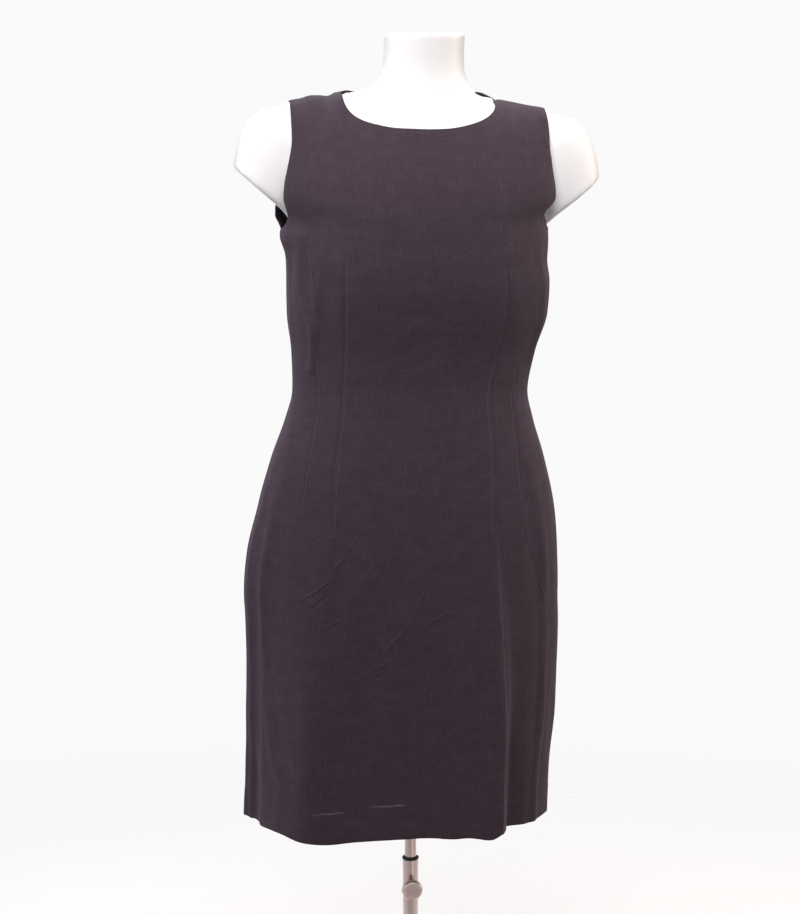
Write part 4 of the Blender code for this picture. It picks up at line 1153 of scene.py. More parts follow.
class Look:
    """One material: its Principled shader's sockets, and one method that adds any node."""

    def __init__(self, name, **constants):
        self.material = bpy.data.materials.new(name)
        self.material.use_nodes = True
        self.tree = self.material.node_tree
        self.shader = self.tree.nodes["Principled BSDF"]
        self.give(**constants)

    def feed(self, node, socket, value):
        """Sets a socket to a number or a colour, or links a Value to it."""
        if isinstance(value, Value):
            self.tree.links.new(value.socket, node.inputs[socket])
        else:
            node.inputs[socket].default_value = value

    def give(self, **sockets):
        """Feeds the shader's own sockets, whose names are written with _ for a space."""
        for socket, value in sockets.items():
            self.feed(self.shader, socket.replace("_", " "), value)

    def node(self, kind, settings, inputs, output=0):
        """Adds a node, makes its settings, then feeds its sockets. Gives one output as a Value."""
        made = self.tree.nodes.new(kind)
        for name, value in settings.items():
            setattr(made, name, value)
        for socket, value in inputs.items():
            self.feed(made, socket, value)
        return Value(self, made.outputs[output])

    def noise(self, place, scale, detail=2.0, roughness=0.5):
        """Soft random values, about 0.5 on average, of a size set by the scale per metre."""
        inputs = {"Vector": place, "Scale": scale, "Detail": detail, "Roughness": roughness}
        return self.node("ShaderNodeTexNoise", {}, inputs, "Fac")

    def drawn_noise(self, place, factors, detail=2.0, roughness=0.5):
        """Noise with its own scale along each coordinate, so that it is drawn out."""
        inputs = {0: place, 1: factors}
        stretched = self.node("ShaderNodeVectorMath", {"operation": "MULTIPLY"}, inputs)
        return self.noise(stretched, 1.0, detail, roughness)

    def own_place(self):
        """Each place in the piece's own coordinates, in metres."""
        return self.node("ShaderNodeTexCoord", {}, {}, "Object")

    def between(self, value, low, high):
        """0 below low, 1 above high, and smooth between them."""
        settings = {"interpolation_type": "SMOOTHSTEP"}
        return self.node("ShaderNodeMapRange", settings, {0: value, 1: low, 2: high})

    def mix(self, factor, first, second):
        """A colour between two colours."""
        settings = {"data_type": "RGBA"}
        return self.node("ShaderNodeMix", settings, {0: factor, 6: first, 7: second}, 2)

    def bump(self, height, distance, strength=1.0):
        """A surface direction from heights, which are shares of a distance in metres."""
        inputs = {"Height": height, "Distance": distance, "Strength": strength}
        return self.node("ShaderNodeBump", {}, inputs)


def colour(red, green, blue):
    """A surface colour written in the 0 to 255 steps of a screen."""
    def linear(step):
        share = step / 255
        return share / 12.92 if share <= 0.04045 else ((share + 0.055) / 1.055) ** 2.4

    return (linear(red), linear(green), linear(blue), 1.0)


print("a screen's middle grey is", round(colour(128, 128, 128)[0], 3), "in the shader's light")

# %% [markdown]
# ## The cloth's finish
# The dress is a plain woven canvas with a little linen in it: threads of uneven thickness, so that
# short thicker runs, called slubs, show along and across. The weave is a product of two sines in
# the cut piece's own coordinates, with threads of about 0.7 mm, and the gaps between the threads are
# darker in the colour, which is painted shade. The slubs are noise drawn out along one direction,
# and a broad mottle stands for the uneven dye. A little sheen gives the pale edge that fine fibres
# show where the cloth turns away. Pale marks and fine creases are straight lines of the cut piece,
# so they stay on their threads wherever the cloth goes.

# %% The woven cloth
THREAD = 0.0007
BUMP_DEPTH = 0.00016
DARK_DYE = (56, 44, 52)
LIGHT_DYE = (72, 60, 69)
SLUB_DYE = (90, 78, 87)
# Painted shade for the gaps between the threads.
THREAD_GAP_SHADE = (40, 32, 38)
# A pale colour for the two marks just above the hem.
PALE_MARK = (150, 138, 144)
SHEEN_TINT = (0.90, 0.78, 0.96, 1.0)
# How often a pattern repeats in a metre of the cut piece, across and along it.
WANDER = (90, 90, 1)
SLUBS_ACROSS = (60, 800, 1)
SLUBS_ALONG = (620, 34, 1)
MOTTLE = (38, 70, 1)
SPECKS = (420, 420, 1)
PALE_MARK_PATCHES = (160, 700, 1)
CREASE_SWAY = (44, 44, 1)
SLUB_SHARE = 0.30
THREAD_GAP_SHADE_SHARE = 0.22
PALE_MARK_FADE_LEFT = 0.022
PALE_MARK_FADE_RIGHT = 0.016
CREASE_START = 0.35
CREASE_END = 0.6
CREASE_SWAY_REACH = 0.016


def fine_crease(look, across, along, start, end, half_width):
    """1 on a straight line of the cut piece, falling off at its sides and fading to its ends."""
    run = (end[0] - start[0], end[1] - start[1])
    length = math.hypot(*run)
    right, up = run[0] / length, run[1] / length
    ahead = (across - start[0]) * right + (along - start[1]) * up
    aside = ((across - start[0]) * up - (along - start[1]) * right).through("ABSOLUTE")
    on = look.between(ahead, 0.0, length * CREASE_START)
    on = on * (1 - look.between(ahead, length * CREASE_END, length))
    return on * (1 - look.between(aside, 0.0, half_width))


def woven(name, pale_marks=(), creases=()):
    """The dark canvas, with pale marks and fine creases, in metres on the cut piece."""
    look = Look(name, Metallic=0.0, Sheen_Weight=0.07, Sheen_Roughness=0.45)
    look.give(Sheen_Tint=SHEEN_TINT, Specular_IOR_Level=0.16)
    grain = look.node("ShaderNodeUVMap", {"uv_map": "grain"}, {})
    across = look.node("ShaderNodeSeparateXYZ", {}, {0: grain}, "X")
    along = look.node("ShaderNodeSeparateXYZ", {}, {0: grain}, "Y")
    wander = 1.6 * THREAD * look.drawn_noise(grain, WANDER)
    turn = math.pi / THREAD
    weave = ((across + wander) * turn).through("SINE") * ((along + wander) * turn).through("SINE")
    slub_across = look.drawn_noise(grain, SLUBS_ACROSS, 3.0, 0.6)
    slub_along = look.drawn_noise(grain, SLUBS_ALONG, 3.0, 0.6)
    slubs = look.between(slub_across, 0.52, 0.78) * 0.8 + look.between(slub_along, 0.50, 0.78)
    mottle = look.drawn_noise(grain, MOTTLE, 4.0, 0.65)
    speck = look.drawn_noise(grain, SPECKS, 2.0, 0.7)
    tone = look.between(mottle * 0.45 + speck * 0.55, 0.22, 0.78)
    dye = look.mix(tone, colour(*DARK_DYE), colour(*LIGHT_DYE))
    dye = look.mix(slubs * SLUB_SHARE, dye, colour(*SLUB_DYE))
    # The gaps between the threads are darker in the colour: painted shade in the hollows of the
    # weave.
    gaps = look.between(weave, -1.0, 1.0) * -THREAD_GAP_SHADE_SHARE + THREAD_GAP_SHADE_SHARE
    dye = look.mix(gaps, dye, colour(*THREAD_GAP_SHADE))
    # Each pale mark mixes a lighter colour into a patchy band just above the hem.
    for left, right, low, half in pale_marks:
        inside = look.between(across, left, left + PALE_MARK_FADE_LEFT)
        inside = inside * (1 - look.between(across, right - PALE_MARK_FADE_RIGHT, right))
        height = (along + wander * 3.0 - low).through("ABSOLUTE")
        inside = inside * (1 - look.between(height, 0.0, half))
        patchy = look.between(look.drawn_noise(grain, PALE_MARK_PATCHES), 0.38, 0.62)
        dye = look.mix(inside * (patchy * 0.28 + 0.16), dye, colour(*PALE_MARK))
    relief = weave * 0.5 + slubs * 0.9 + speck * 0.6
    if creases:
        sway = (look.drawn_noise(grain, CREASE_SWAY) - 0.5) * CREASE_SWAY_REACH
        for start, end, half_width, rise in creases:
            line = fine_crease(look, across + sway, along + sway, start, end, half_width)
            relief = relief + line * (rise / BUMP_DEPTH)
    bumps = look.bump(relief, BUMP_DEPTH, 0.8)
    look.give(Base_Color=dye, Roughness=0.86 - slubs * 0.06, Normal=bumps)
    return look.material


print("threads of", round(THREAD * 1000, 2), "mm, up to", round(BUMP_DEPTH * 1000, 2), "mm proud")

# %% [markdown]
# ## Pale marks and fine creases of the front
# The front has two pale marks just above the hem, and over two dozen creases that are too
# fine for the grid of points. Each crease is written down as it is seen from the front, and is
# then carried over to the cut piece, as the larger creases were.

# %% Finish the front's and the backs' cloth
# Left end, right end, height and half height of each mark, in metres on the cut piece.
HEM_MARKS = ((-0.126, -0.072, 0.0425, 0.0019), (-0.050, 0.006, 0.0475, 0.0021))
CREASE_RISE = 1.9
# Two ends seen from the front, half width and rise of each crease, in millimetres.
FINE_CREASES = (
    (((-153, 806), (-96, 856)), 3.4, 0.60),
    (((-140, 800), (-106, 830)), 3.0, -0.45),
    (((-114, 842), (-76, 898)), 3.2, 0.45),
    (((-50, 740), (-6, 790)), 3.4, 0.55),
    (((-12, 780), (17, 842)), 3.2, 0.60),
    (((-6, 772), (46, 798)), 3.0, 0.45),
    (((2, 768), (36, 784)), 3.0, -0.35),
    (((-84, 712), (-22, 744)), 3.4, 0.45),
    (((-70, 706), (-34, 726)), 3.0, -0.35),
    (((-132, 772), (-88, 799)), 3.0, 0.35),
    (((-98, 662), (-34, 706)), 3.4, 0.35),
    (((24, 694), (62, 744)), 3.4, 0.35),
    (((34, 836), (62, 888)), 3.2, 0.30),
    (((-72, 838), (-46, 872)), 3.0, 0.30),
    (((97, 940), (106, 797)), 2.8, -0.50),
    (((103, 840), (112, 680)), 2.8, -0.60),
    (((109, 730), (116, 560)), 2.8, -0.60),
    (((114, 620), (116, 490)), 2.8, -0.50),
    (((126, 905), (150, 842)), 2.8, -0.55),
    (((150, 858), (168, 776)), 2.6, 0.50),
    (((160, 760), (166, 650)), 2.6, 0.50),
    (((-182, 690), (-176, 590)), 2.8, 0.50),
    (((-160, 640), (-150, 560)), 3.0, 0.35),
    (((-143, 1292), (-136, 1234)), 4.0, 0.85),
    (((-131, 1258), (-128, 1198)), 3.4, 0.95),
    (((-136, 1248), (-133, 1200)), 2.8, -0.95),
    (((-121, 1250), (-119, 1200)), 2.4, -0.50),
)


def on_cut_piece(panel, ends):
    """The two ends of a straight crease, in metres on the cut piece."""
    flat = flat_path(panel, ends)
    return [(float(across) * MM, float(height - HEM_HEIGHT) * MM) for across, height in flat]


front_creases = [
    (*on_cut_piece(front, ends), half_width * MM, rise * CREASE_RISE * MM)
    for ends, half_width, rise in FINE_CREASES
]
cloth = woven("woven_cloth")
front_cloth = woven("woven_cloth_front", HEM_MARKS, front_creases)
# The marks counted here are pale bands of colour just above the hem.
print(len(front_creases), "fine creases and", len(HEM_MARKS), "rubbed marks")

# %% [markdown]
# ## Sewing the panels together
# Front and backs share their seams, so at each seam both panels are made to face the same way and
# are kept three tenths of a millimetre apart: close enough to look sewn, and still separate
# pieces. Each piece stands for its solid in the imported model.

# %% Make the three cloth pieces
face_alike(front, 0, (-1.0, 0.0, 0.0))
face_alike(front, -1, (1.0, 0.0, 0.0))
keep_seams_apart(front, (0, -1))
for name, side in SIDES.items():
    face_alike(backs[name], -1, (float(side), 0.0, 0.0))
    backs[name].normals[:, 0, 0] = 0.0
    keep_seams_apart(backs[name], (-1,), 0, side)

front_piece = shell("dress_front", front, front_cloth)
back_pieces = {name: shell(f"dress_back_{name}", panel, cloth) for name, panel in backs.items()}

for piece, node in (
    (front_piece, "front_panel"),
    (back_pieces["left"], "back_panel_left"),
    (back_pieces["right"], "back_panel_right"),
):
    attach(piece, "figure")
    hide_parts(node)

# %% [markdown]
# ## The display form
# The form is a hollow moulding: a torso with a neck and two short shoulder stubs. Its solid in the
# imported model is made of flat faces, which would show on a smooth white body. It is lofted again
# here from many more rings, each worked out from a few measured ones. Below the shoulders the form
# is the dress's own surface, drawn in by a few millimetres of ease.

# %% Rings of the form
FORM_BOTTOM = 738.0
NECK_TOP = 1508.0
form_ease = line_of((
    (738, 34), (800, 22), (860, 14), (916, 9), (978, 7),
    (1062, 7), (1120, 7), (1180, 3.5), (1266, 3.0),
))
form_under_round = line_of(((738, 26), (741, 14), (748, 6), (762, 0)))
form_chest = line_of(((0.0, 160), (0.08, 160), (0.15, 162), (0.35, 168), (0.7, 173), (1.0, 174)))
FORM_BELOW_RIDGE = 1.4
NECK_HOLLOW = (90.0, 22.0, 2.0)
neck = lines_of(("height", "half_width", "half_depth", "x", "y"), (
    (1388, 104, 62, 10, -2), (1410, 92, 60, 11, -2), (1428, 74, 57, 12, -2),
    (1443, 60, 54, 14, -3), (1462, 52, 51, 15, -4), (1485, 50, 50, 16, -6), (1508, 50, 50, 17, -8),
))
stub = lines_of(("step", "outer_x", "outer_z", "inner_x", "inner_z", "half_depth"), (
    (0, 150, 1408, 136, 1397, 12),
    (1, 170, 1412, 128, 1370, 27),
    (2, 188, 1410, 126, 1348, 35),
    (3, 206, 1401, 128, 1330, 39),
    (4, 218, 1385, 136, 1296, 40),
    (5, 226, 1364, 156, 1270, 38),
    (6, 231, 1336, 170, 1284, 37),
))
STUB_MIDDLE = (9.0, 2.0)
FORM_SIDES = 96
OVAL_SIDES = 64
CHEST_MARGIN = 0.01
half_turn = np.linspace(-90, 90, FORM_SIDES // 2 + 1)


def torso_ring(height):
    """One closed ring of the form below the underarm."""
    ease = form_ease(height) + form_under_round(height)
    halves = section_point(half_turn, height, -1, ease), section_point(half_turn, height, 1, ease)
    return np.concatenate([halves[0], halves[1][-2:0:-1]])


def chest_ring(level):
    """One closed ring of the form between the underarm and the shoulder ridge."""
    chest = form_chest(level)
    share = np.sin(np.radians(half_turn))
    place, reach, depth = NECK_HOLLOW
    hollow = depth * level * bell(np.abs(share) * chest - place, reach)
    below = FORM_BELOW_RIDGE * level + hollow
    ease = form_ease(UNDERARM_HEIGHT) + 2 * hollow
    around = chest + CHEST_MARGIN
    halves = [yoke_point(share, level, side, chest, around, ease, below) for side in (-1, 1)]
    return np.concatenate([halves[0], halves[1][-2:0:-1]])


def oval_ring(middle, right, up):
    """One closed oval about a middle."""
    turn = np.linspace(0, 2 * math.pi, OVAL_SIDES, endpoint=False)[:, None]
    return np.array(middle) + np.cos(turn) * np.array(right) + np.sin(turn) * np.array(up)


def neck_ring(height):
    """One oval of the neck."""
    middle = (neck["x"](height), neck["y"](height), height)
    return oval_ring(middle, (neck["half_width"](height), 0, 0), (0, neck["half_depth"](height), 0))


def stub_ring(step, side):
    """One oval of a shoulder stub, from its outer and its inner end."""
    ends = []
    for end in ("outer", "inner"):
        x, z = float(stub[end + "_x"](step)), float(stub[end + "_z"](step))
        lean = SHOULDER_LEAN * side * x
        ends.append(np.array((STUB_MIDDLE[0] + side * x, STUB_MIDDLE[1], z - lean)))
    middle, half = (ends[0] + ends[1]) / 2, (ends[0] - ends[1]) / 2
    return oval_ring(middle, half, (0, float(stub["half_depth"](step)), 0))


def loft(mesh, rings):
    """A closed body through rings of equal length, in a bmesh."""
    loops = [[mesh.verts.new(point * MM) for point in ring] for ring in rings]
    for low, high in zip(loops, loops[1:]):
        for i in range(len(low)):
            j = (i + 1) % len(low)
            mesh.faces.new([low[i], low[j], high[j], high[i]])
    mesh.faces.new(loops[0][::-1])
    mesh.faces.new(loops[-1])


print("a ring of the torso has", len(torso_ring(FORM_BOTTOM)), "points")

# %% [markdown]
# ## One skin for the form
# The torso, the neck and the two stubs are four closed bodies that pass through one another. A
# Boolean union would keep a hard line where they meet. A voxel remesh keeps only what can be seen
# from outside, and a few rounds of smoothing melt the joins, as a real moulding is rounded.

# %% Melt the form into one skin
FORM_VOXEL = 0.003
FORM_SMOOTHING = 8
FORM_SMOOTHING_SHARE = 0.5
UNDER_HEIGHTS = (FORM_BOTTOM, 739.5, 741, 744, 748, 754, 762)
TORSO_HEIGHTS = np.linspace(775, 1262, 62)
CHEST_LEVELS = np.linspace(0.0, 0.985, 44)
NECK_HEIGHTS = np.linspace(1388, NECK_TOP, 36)
STUB_STEPS = np.linspace(0, 6, 40)

body = bmesh.new()
torso_rings = [torso_ring(height) for height in (*UNDER_HEIGHTS, *TORSO_HEIGHTS)]
loft(body, torso_rings + [chest_ring(level) for level in CHEST_LEVELS])
loft(body, [neck_ring(height) for height in NECK_HEIGHTS])
for side in (1, -1):
    loft(body, [stub_ring(step, side) for step in STUB_STEPS])
bmesh.ops.recalc_face_normals(body, faces=body.faces)
rough_mesh = bpy.data.meshes.new("form_rough")
body.to_mesh(rough_mesh)
body.free()
rough = scene_object("form_rough", rough_mesh)
melt = rough.modifiers.new("melt", "REMESH")
melt.mode = "VOXEL"
melt.voxel_size = FORM_VOXEL
melt.use_smooth_shade = True
smooth = rough.modifiers.new("smooth", "SMOOTH")
smooth.iterations = FORM_SMOOTHING
smooth.factor = FORM_SMOOTHING_SHARE
bpy.context.view_layer.update()
evaluated = rough.evaluated_get(bpy.context.evaluated_depsgraph_get())
form_mesh = bpy.data.meshes.new_from_object(evaluated)
form_mesh.name = "form"
form_mesh.shade_smooth()
form = scene_object("display_form_skin", form_mesh)
bpy.data.objects.remove(rough)
print("form:", len(form_mesh.polygons), "faces")

# %% [markdown]
# ## The form's finish
# The moulding is painted white with a soft gloss. Real ones are never perfectly even: the paint has
# a fine orange-peel surface, and handling leaves faint duller patches. Both are small, so they are
# noise in the object's own coordinates.

# %% White moulding
def painted_white():
    """The form's white paint."""
    look = Look("white_moulding", Metallic=0.0, Coat_Weight=0.15, Coat_Roughness=0.25)
    place = look.own_place()
    patches = look.noise(place, 9.0, 4.0, 0.6)
    peel = look.noise(place, 900.0, 2.0)
    tone = look.mix(look.between(patches, 0.35, 0.7), colour(236, 234, 233), colour(240, 239, 238))
    peel_bumps = look.bump(peel, 0.00005, 0.5)
    look.give(Base_Color=tone, Roughness=0.42 + patches * 0.12, Normal=peel_bumps)
    return look.material


white = painted_white()
form_mesh.materials.clear()
form_mesh.materials.append(white)
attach(form, "figure")
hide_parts("display_form")
print("the form is finished in", white.name)

# %% [markdown]
# ## Stitches
# Rows of stitches hold down the darts' spare cloth, a few millimetres nearer the centre than the
# dart. Bump could draw them, but close up a stitch is a short thread that rises out of the cloth
# and goes back in. Each one is a small tube of its own, bent along the cloth's final surface, and
# all the stitches of one row form one mesh.

# %% The stitch maker
STITCH_SIDES = 6
STITCH_RINGS = 5
STITCH_UNEVEN = 0.12
STITCH_AHEAD = 0.3
STITCH_ARCH = 0.30
STITCH_SINK = 0.16
THREAD_END = 0.62
THREAD_SWELL = 0.38


class Surface:
    """The finished outer face of a panel, to find places on it by their flat coordinates."""

    def __init__(self, panel):
        self.panel = panel
        self.outer = panel.outer
        self.rows = np.arange(len(panel.points), dtype=float)
        self.columns = np.arange(panel.points.shape[1], dtype=float)

    def sample(self, grid, row, column):
        """A grid's value between its rows and columns."""
        i, j = int(min(row, len(self.rows) - 2)), int(min(column, len(self.columns) - 2))
        s, t = row - i, column - j
        low = grid[i, j] * (1 - t) + grid[i, j + 1] * t
        high = grid[i + 1, j] * (1 - t) + grid[i + 1, j + 1] * t
        return low * (1 - s) + high * s

    def row_at(self, height, column):
        """The row at which a column reaches a height."""
        return float(np.interp(height, self.panel.points[:, int(round(column)), 2], self.rows))

    def at(self, height, column, shift):
        """The point and outward direction at a height, shifted across the cloth from a column."""
        row = self.row_at(height, column)
        i = int(round(row))
        across = self.panel.across[i]
        want = float(np.interp(column, self.columns, across)) + shift
        order = np.argsort(across)
        column = float(np.interp(want, across[order], self.columns[order]))
        return self.sample(self.outer, row, column), self.sample(self.panel.normals, row, column)


def between_rows(here, at, rows):
    """The row of an array at a distance, where at holds each row's own distance."""
    return np.array([np.interp(here, at, column) for column in rows.T])


def tube_faces(first):
    """The faces of one closed stitch, whose rings of points start at a number."""
    faces = []
    for k in range(STITCH_RINGS - 1):
        for s in range(STITCH_SIDES):
            a = first + k * STITCH_SIDES + s
            b = first + k * STITCH_SIDES + (s + 1) % STITCH_SIDES
            faces.append((a, b, b + STITCH_SIDES, a + STITCH_SIDES))
    end = first + (STITCH_RINGS - 1) * STITCH_SIDES
    faces.append(tuple(range(first + STITCH_SIDES - 1, first - 1, -1)))
    faces.append(tuple(range(end, end + STITCH_SIDES)))
    return faces


def stitch_row(name, places, pitch, long, radius, look):
    """A row of stitches along places, which are pairs of a point and an outward direction."""
    points = np.array([place[0] for place in places])
    normals = np.array([place[1] for place in places])
    steps = np.linalg.norm(np.diff(points, axis=0), axis=1)
    at = np.concatenate([[0], np.cumsum(steps)])
    random = np.random.default_rng(SEED + len(name))
    verts, faces = [], []
    for start in np.arange(0, at[-1] - long, pitch):
        start = start + random.uniform(-STITCH_UNEVEN, STITCH_UNEVEN)
        faces += tube_faces(len(verts))
        for k in range(STITCH_RINGS):
            share = k / (STITCH_RINGS - 1)
            here = start + long * share
            centre = between_rows(here, at, points)
            out = between_rows(here, at, normals)
            out /= np.linalg.norm(out)
            along = between_rows(here + STITCH_AHEAD, at, points) - centre
            along /= np.linalg.norm(along) + NEVER_ZERO
            wide = np.cross(along, out)
            arch = math.sin(math.pi * share)
            swell = radius * (THREAD_END + THREAD_SWELL * arch)
            centre = centre + out * (STITCH_ARCH * arch - STITCH_SINK)
            for s in range(STITCH_SIDES):
                turn = 2 * math.pi * s / STITCH_SIDES
                verts.append(centre + (wide * math.cos(turn) + out * math.sin(turn)) * swell)
    mesh = bpy.data.meshes.new(name)
    mesh.from_pydata((np.array(verts) * MM).tolist(), [], faces)
    mesh.shade_smooth()
    piece = scene_object(name, mesh, look)
    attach(piece, "figure")
    print(name, len(verts) // (STITCH_SIDES * STITCH_RINGS), "stitches")


print("a stitch has", STITCH_SIDES * STITCH_RINGS, "points")

# %% [markdown]
# ## Topstitching on the darts
# The thread is a little lighter than the cloth and twisted, which a wave along it shows: in the bump,
# and as darker bands in the colour, which are painted shade in the grooves of the twist. The long
# darts of the front have a second, shorter row nearer the seam. The other darts have one row.

# %% Stitch the darts
def sewing_thread():
    """Polyester thread, a little lighter than the cloth, with a twist along it and painted shade in
    its grooves.
    """
    look = Look("sewing_thread", Metallic=0.0, Sheen_Weight=0.2)
    inputs = {"Vector": look.own_place(), "Scale": 900.0, "Distortion": 2.0}
    twist = look.node("ShaderNodeTexWave", {"bands_direction": "DIAGONAL"}, inputs, "Fac")
    # The darker end of the twist's bands is painted shade in the grooves between the plies.
    shade = look.mix(twist, colour(66, 56, 64), colour(104, 93, 101))
    look.give(Base_Color=shade, Roughness=0.55 + twist * 0.2, Normal=look.bump(twist, 0.00006))
    return look.material


THREAD_RADIUS = 0.27
STITCH_PITCH = 3.3
STITCH_LONG = 1.8
STITCH_STEP = 2.0
STITCH_CLEAR = 6
LONG_DART_ROWS = ((DART_BAND, 1.0), (DART_BAND - 3.2, 0.62))
SINGLE_ROW = ((2.6, 1.0),)
thread = sewing_thread()
front_surface = Surface(front)
back_surfaces = {name: Surface(panel) for name, panel in backs.items()}


def dart_rows(name, surface, column, span, toward, rows):
    """The topstitching of one dart: each row's shift towards the centre and its share of the dart."""
    low, high = span
    heights = np.arange(low + STITCH_CLEAR, high - STITCH_CLEAR, STITCH_STEP)
    for number, (shift, reach) in enumerate(rows):
        chosen = heights[heights < low + (high - low) * reach]
        places = [surface.at(height, column, shift * toward) for height in chosen]
        row_name = f"{name}_stitches_{number + 1}"
        stitch_row(row_name, places, STITCH_PITCH, STITCH_LONG, THREAD_RADIUS, thread)


for name, (column, span, toward) in zip(
    ("side_dart_right", "long_dart_right", "long_dart_left", "side_dart_left"), FRONT_DARTS
):
    rows = LONG_DART_ROWS if "long" in name else SINGLE_ROW
    dart_rows(name, front_surface, column, span, toward, rows)
for name, side in SIDES.items():
    surface = back_surfaces[name]
    dart_rows(f"back_dart_{name}", surface, BACK_DART_COLUMN, BACK_DART_SPAN, -side, SINGLE_ROW)

# %% [markdown]
# ## Hem stitches
# A tailor's hem is sewn blind: each stitch catches one thread of the outside, so only a row of
# tiny pricks shows. They are the same small tubes, much shorter and further apart.

# %% Prick the hem
PRICK_PITCH = 6.5
PRICK_LONG = 0.9
PRICK_RADIUS = 0.2
PRICKS_BELOW_EDGE = 1.0
COLUMNS_LEFT_OUT = 3


def hem_places(surface):
    """Places along the turned-up hem's upper edge, from one seam to the other."""
    panel = surface.panel
    height = HEM_TURN_UP - PRICKS_BELOW_EDGE
    found = []
    for column in range(panel.points.shape[1]):
        row = float(np.interp(height, panel.up[:, column], surface.rows))
        point = surface.sample(surface.outer, row, column)
        found.append((point, surface.sample(panel.normals, row, column)))
    return found[COLUMNS_LEFT_OUT:-COLUMNS_LEFT_OUT]


for name, surface in (
    ("front_hem_pricks", front_surface),
    ("back_hem_pricks_left", back_surfaces["left"]),
    ("back_hem_pricks_right", back_surfaces["right"]),
):
    stitch_row(name, hem_places(surface), PRICK_PITCH, PRICK_LONG, PRICK_RADIUS, thread)

# %% [markdown]
# ## Metal of the stand and the zip
# The pole stand is chromed steel tube. Chrome is almost a mirror, so most of its look is the room
# that it reflects, but years of clamping leave fine scratches round it and a haze that varies. The
# roughness is where that shows, with a very small bump. The metal's colour is tinted pinkish brown,
# which is a painted reflection of the dark dress and the warm room on top of the chrome's own colour.

# %% Chrome, black plastic and zip metal
# A pale pinkish chrome: the metal's own pale colour with a painted warm reflection in it.
PALE_CHROME_AND_WARM_REFLECTION = (214, 199, 195)


def chrome_look(name, tint, scratch_factors):
    """Worn chrome, with fine scratches drawn out round or along the piece."""
    look = Look(name, Metallic=1.0)
    place = look.own_place()
    haze = look.noise(place, 22.0, 4.0, 0.6)
    scratches = look.drawn_noise(place, scratch_factors, 3.0, 0.7)
    fine = look.between(scratches, 0.45, 0.75)
    # The colour mixes the tint with the pale pinkish chrome, and the pink in both is a painted warm
    # reflection.
    look.give(
        Base_Color=look.mix(haze, colour(*tint), colour(*PALE_CHROME_AND_WARM_REFLECTION)),
        Roughness=0.07 + haze * 0.08 + fine * 0.07,
        Normal=look.bump(scratches, 0.00002, 0.5),
    )
    return look.material


def black_plastic():
    """The moulded ring at the mouth of the tube."""
    look = Look("black_plastic", Metallic=0.0)
    dust = look.noise(look.own_place(), 160.0, 4.0, 0.6)
    tone = look.mix(dust, colour(22, 21, 22), colour(46, 43, 44))
    look.give(Base_Color=tone, Roughness=0.38 + dust * 0.25, Normal=look.bump(dust, 0.00004))
    return look.material


def zip_look():
    """The slider's dark lacquer, rubbed to metal in random patches."""
    look = Look("zip_lacquer", Metallic=0.7)
    rub = look.between(look.noise(look.own_place(), 420.0, 4.0, 0.6), 0.50, 0.72)
    tone = look.mix(rub, colour(48, 42, 47), colour(96, 88, 92))
    look.give(Base_Color=tone, Roughness=0.30 + rub * 0.2, Normal=look.bump(rub, 0.00003))
    return look.material


# The tube's pinkish brown tint is a painted reflection of the dark dress and the warm room, mixed
# into the chrome's own colour.
chrome_round = chrome_look("chrome_tube", (200, 178, 172), (60, 60, 1400))
chrome_flat = chrome_look("chrome_base", (205, 200, 198), (700, 700, 700))
ring_black = black_plastic()
zip_metal = zip_look()

for node, look in (
    ("form_socket", chrome_round),
    ("base_plate", chrome_flat),
    ("collar_ring", ring_black),
    ("zip_slider", zip_metal),
    ("zip_pull", zip_metal),
):
    nodes[node].data.materials.clear()
    nodes[node].data.materials.append(look)
    print(node, "is finished in", look.name)

# %% [markdown]
# ## The two tubes
# A polished tube shows every flat of its surface, so the stand's two tubes are turned again with
# many more sides, and so is the clamp's boss that stands out of the outer one. Each is a closed
# ring: a short profile of radii and distances along an axis goes once round that axis.

# %% Turn the tubes and the boss
CLAMP_HEIGHT = 407.0
TUBE_SIDES = 96
TUBE_CORNER = 25
TUBE_PROFILE = (
    (10.0, 16.8), (10.0, 442.1), (9.8, 442.4), (9.4, 442.5),
    (8.1, 442.5), (7.7, 442.1), (7.7, 16.3), (9.6, 16.3),
)
POLE_PROFILE = (
    (7.5, 190.4), (7.5, 733.0), (7.1, 733.4), (6.5, 733.4), (6.5, 190.0), (7.1, 190.0),
)
BOSS_PROFILE = ((7.0, 8.3), (7.0, 16.5), (6.8, 16.85), (6.4, 17.0), (3.5, 17.0), (3.5, 8.3))


def on_pole(radius, turn, along):
    """A place about the pole's axis."""
    return Vector((radius * math.cos(turn), radius * math.sin(turn), along)) * MM


def on_clamp(radius, turn, along):
    """A place about the clamp's axis, which points to the front."""
    return Vector((radius * math.cos(turn), -along, CLAMP_HEIGHT + radius * math.sin(turn))) * MM


def turn_ring(mesh, profile, place):
    """A closed ring: the profile's loop taken once round an axis."""
    loops = []
    for radius, along in profile:
        turns = [2 * math.pi * k / TUBE_SIDES for k in range(TUBE_SIDES)]
        loops.append([mesh.verts.new(place(radius, turn, along)) for turn in turns])
    for low, high in zip(loops, loops[1:] + loops[:1]):
        for k in range(TUBE_SIDES):
            j = (k + 1) % TUBE_SIDES
            mesh.faces.new((low[k], low[j], high[j], high[k]))


def turned_mesh(name, mesh, corner):
    """A bmesh as a smooth mesh whose edges stay sharp where they turn by more than a corner."""
    bmesh.ops.recalc_face_normals(mesh, faces=mesh.faces)
    made = bpy.data.meshes.new(name)
    mesh.to_mesh(made)
    mesh.free()
    made.shade_smooth()
    made.set_sharp_from_angle(angle=math.radians(corner))
    return made


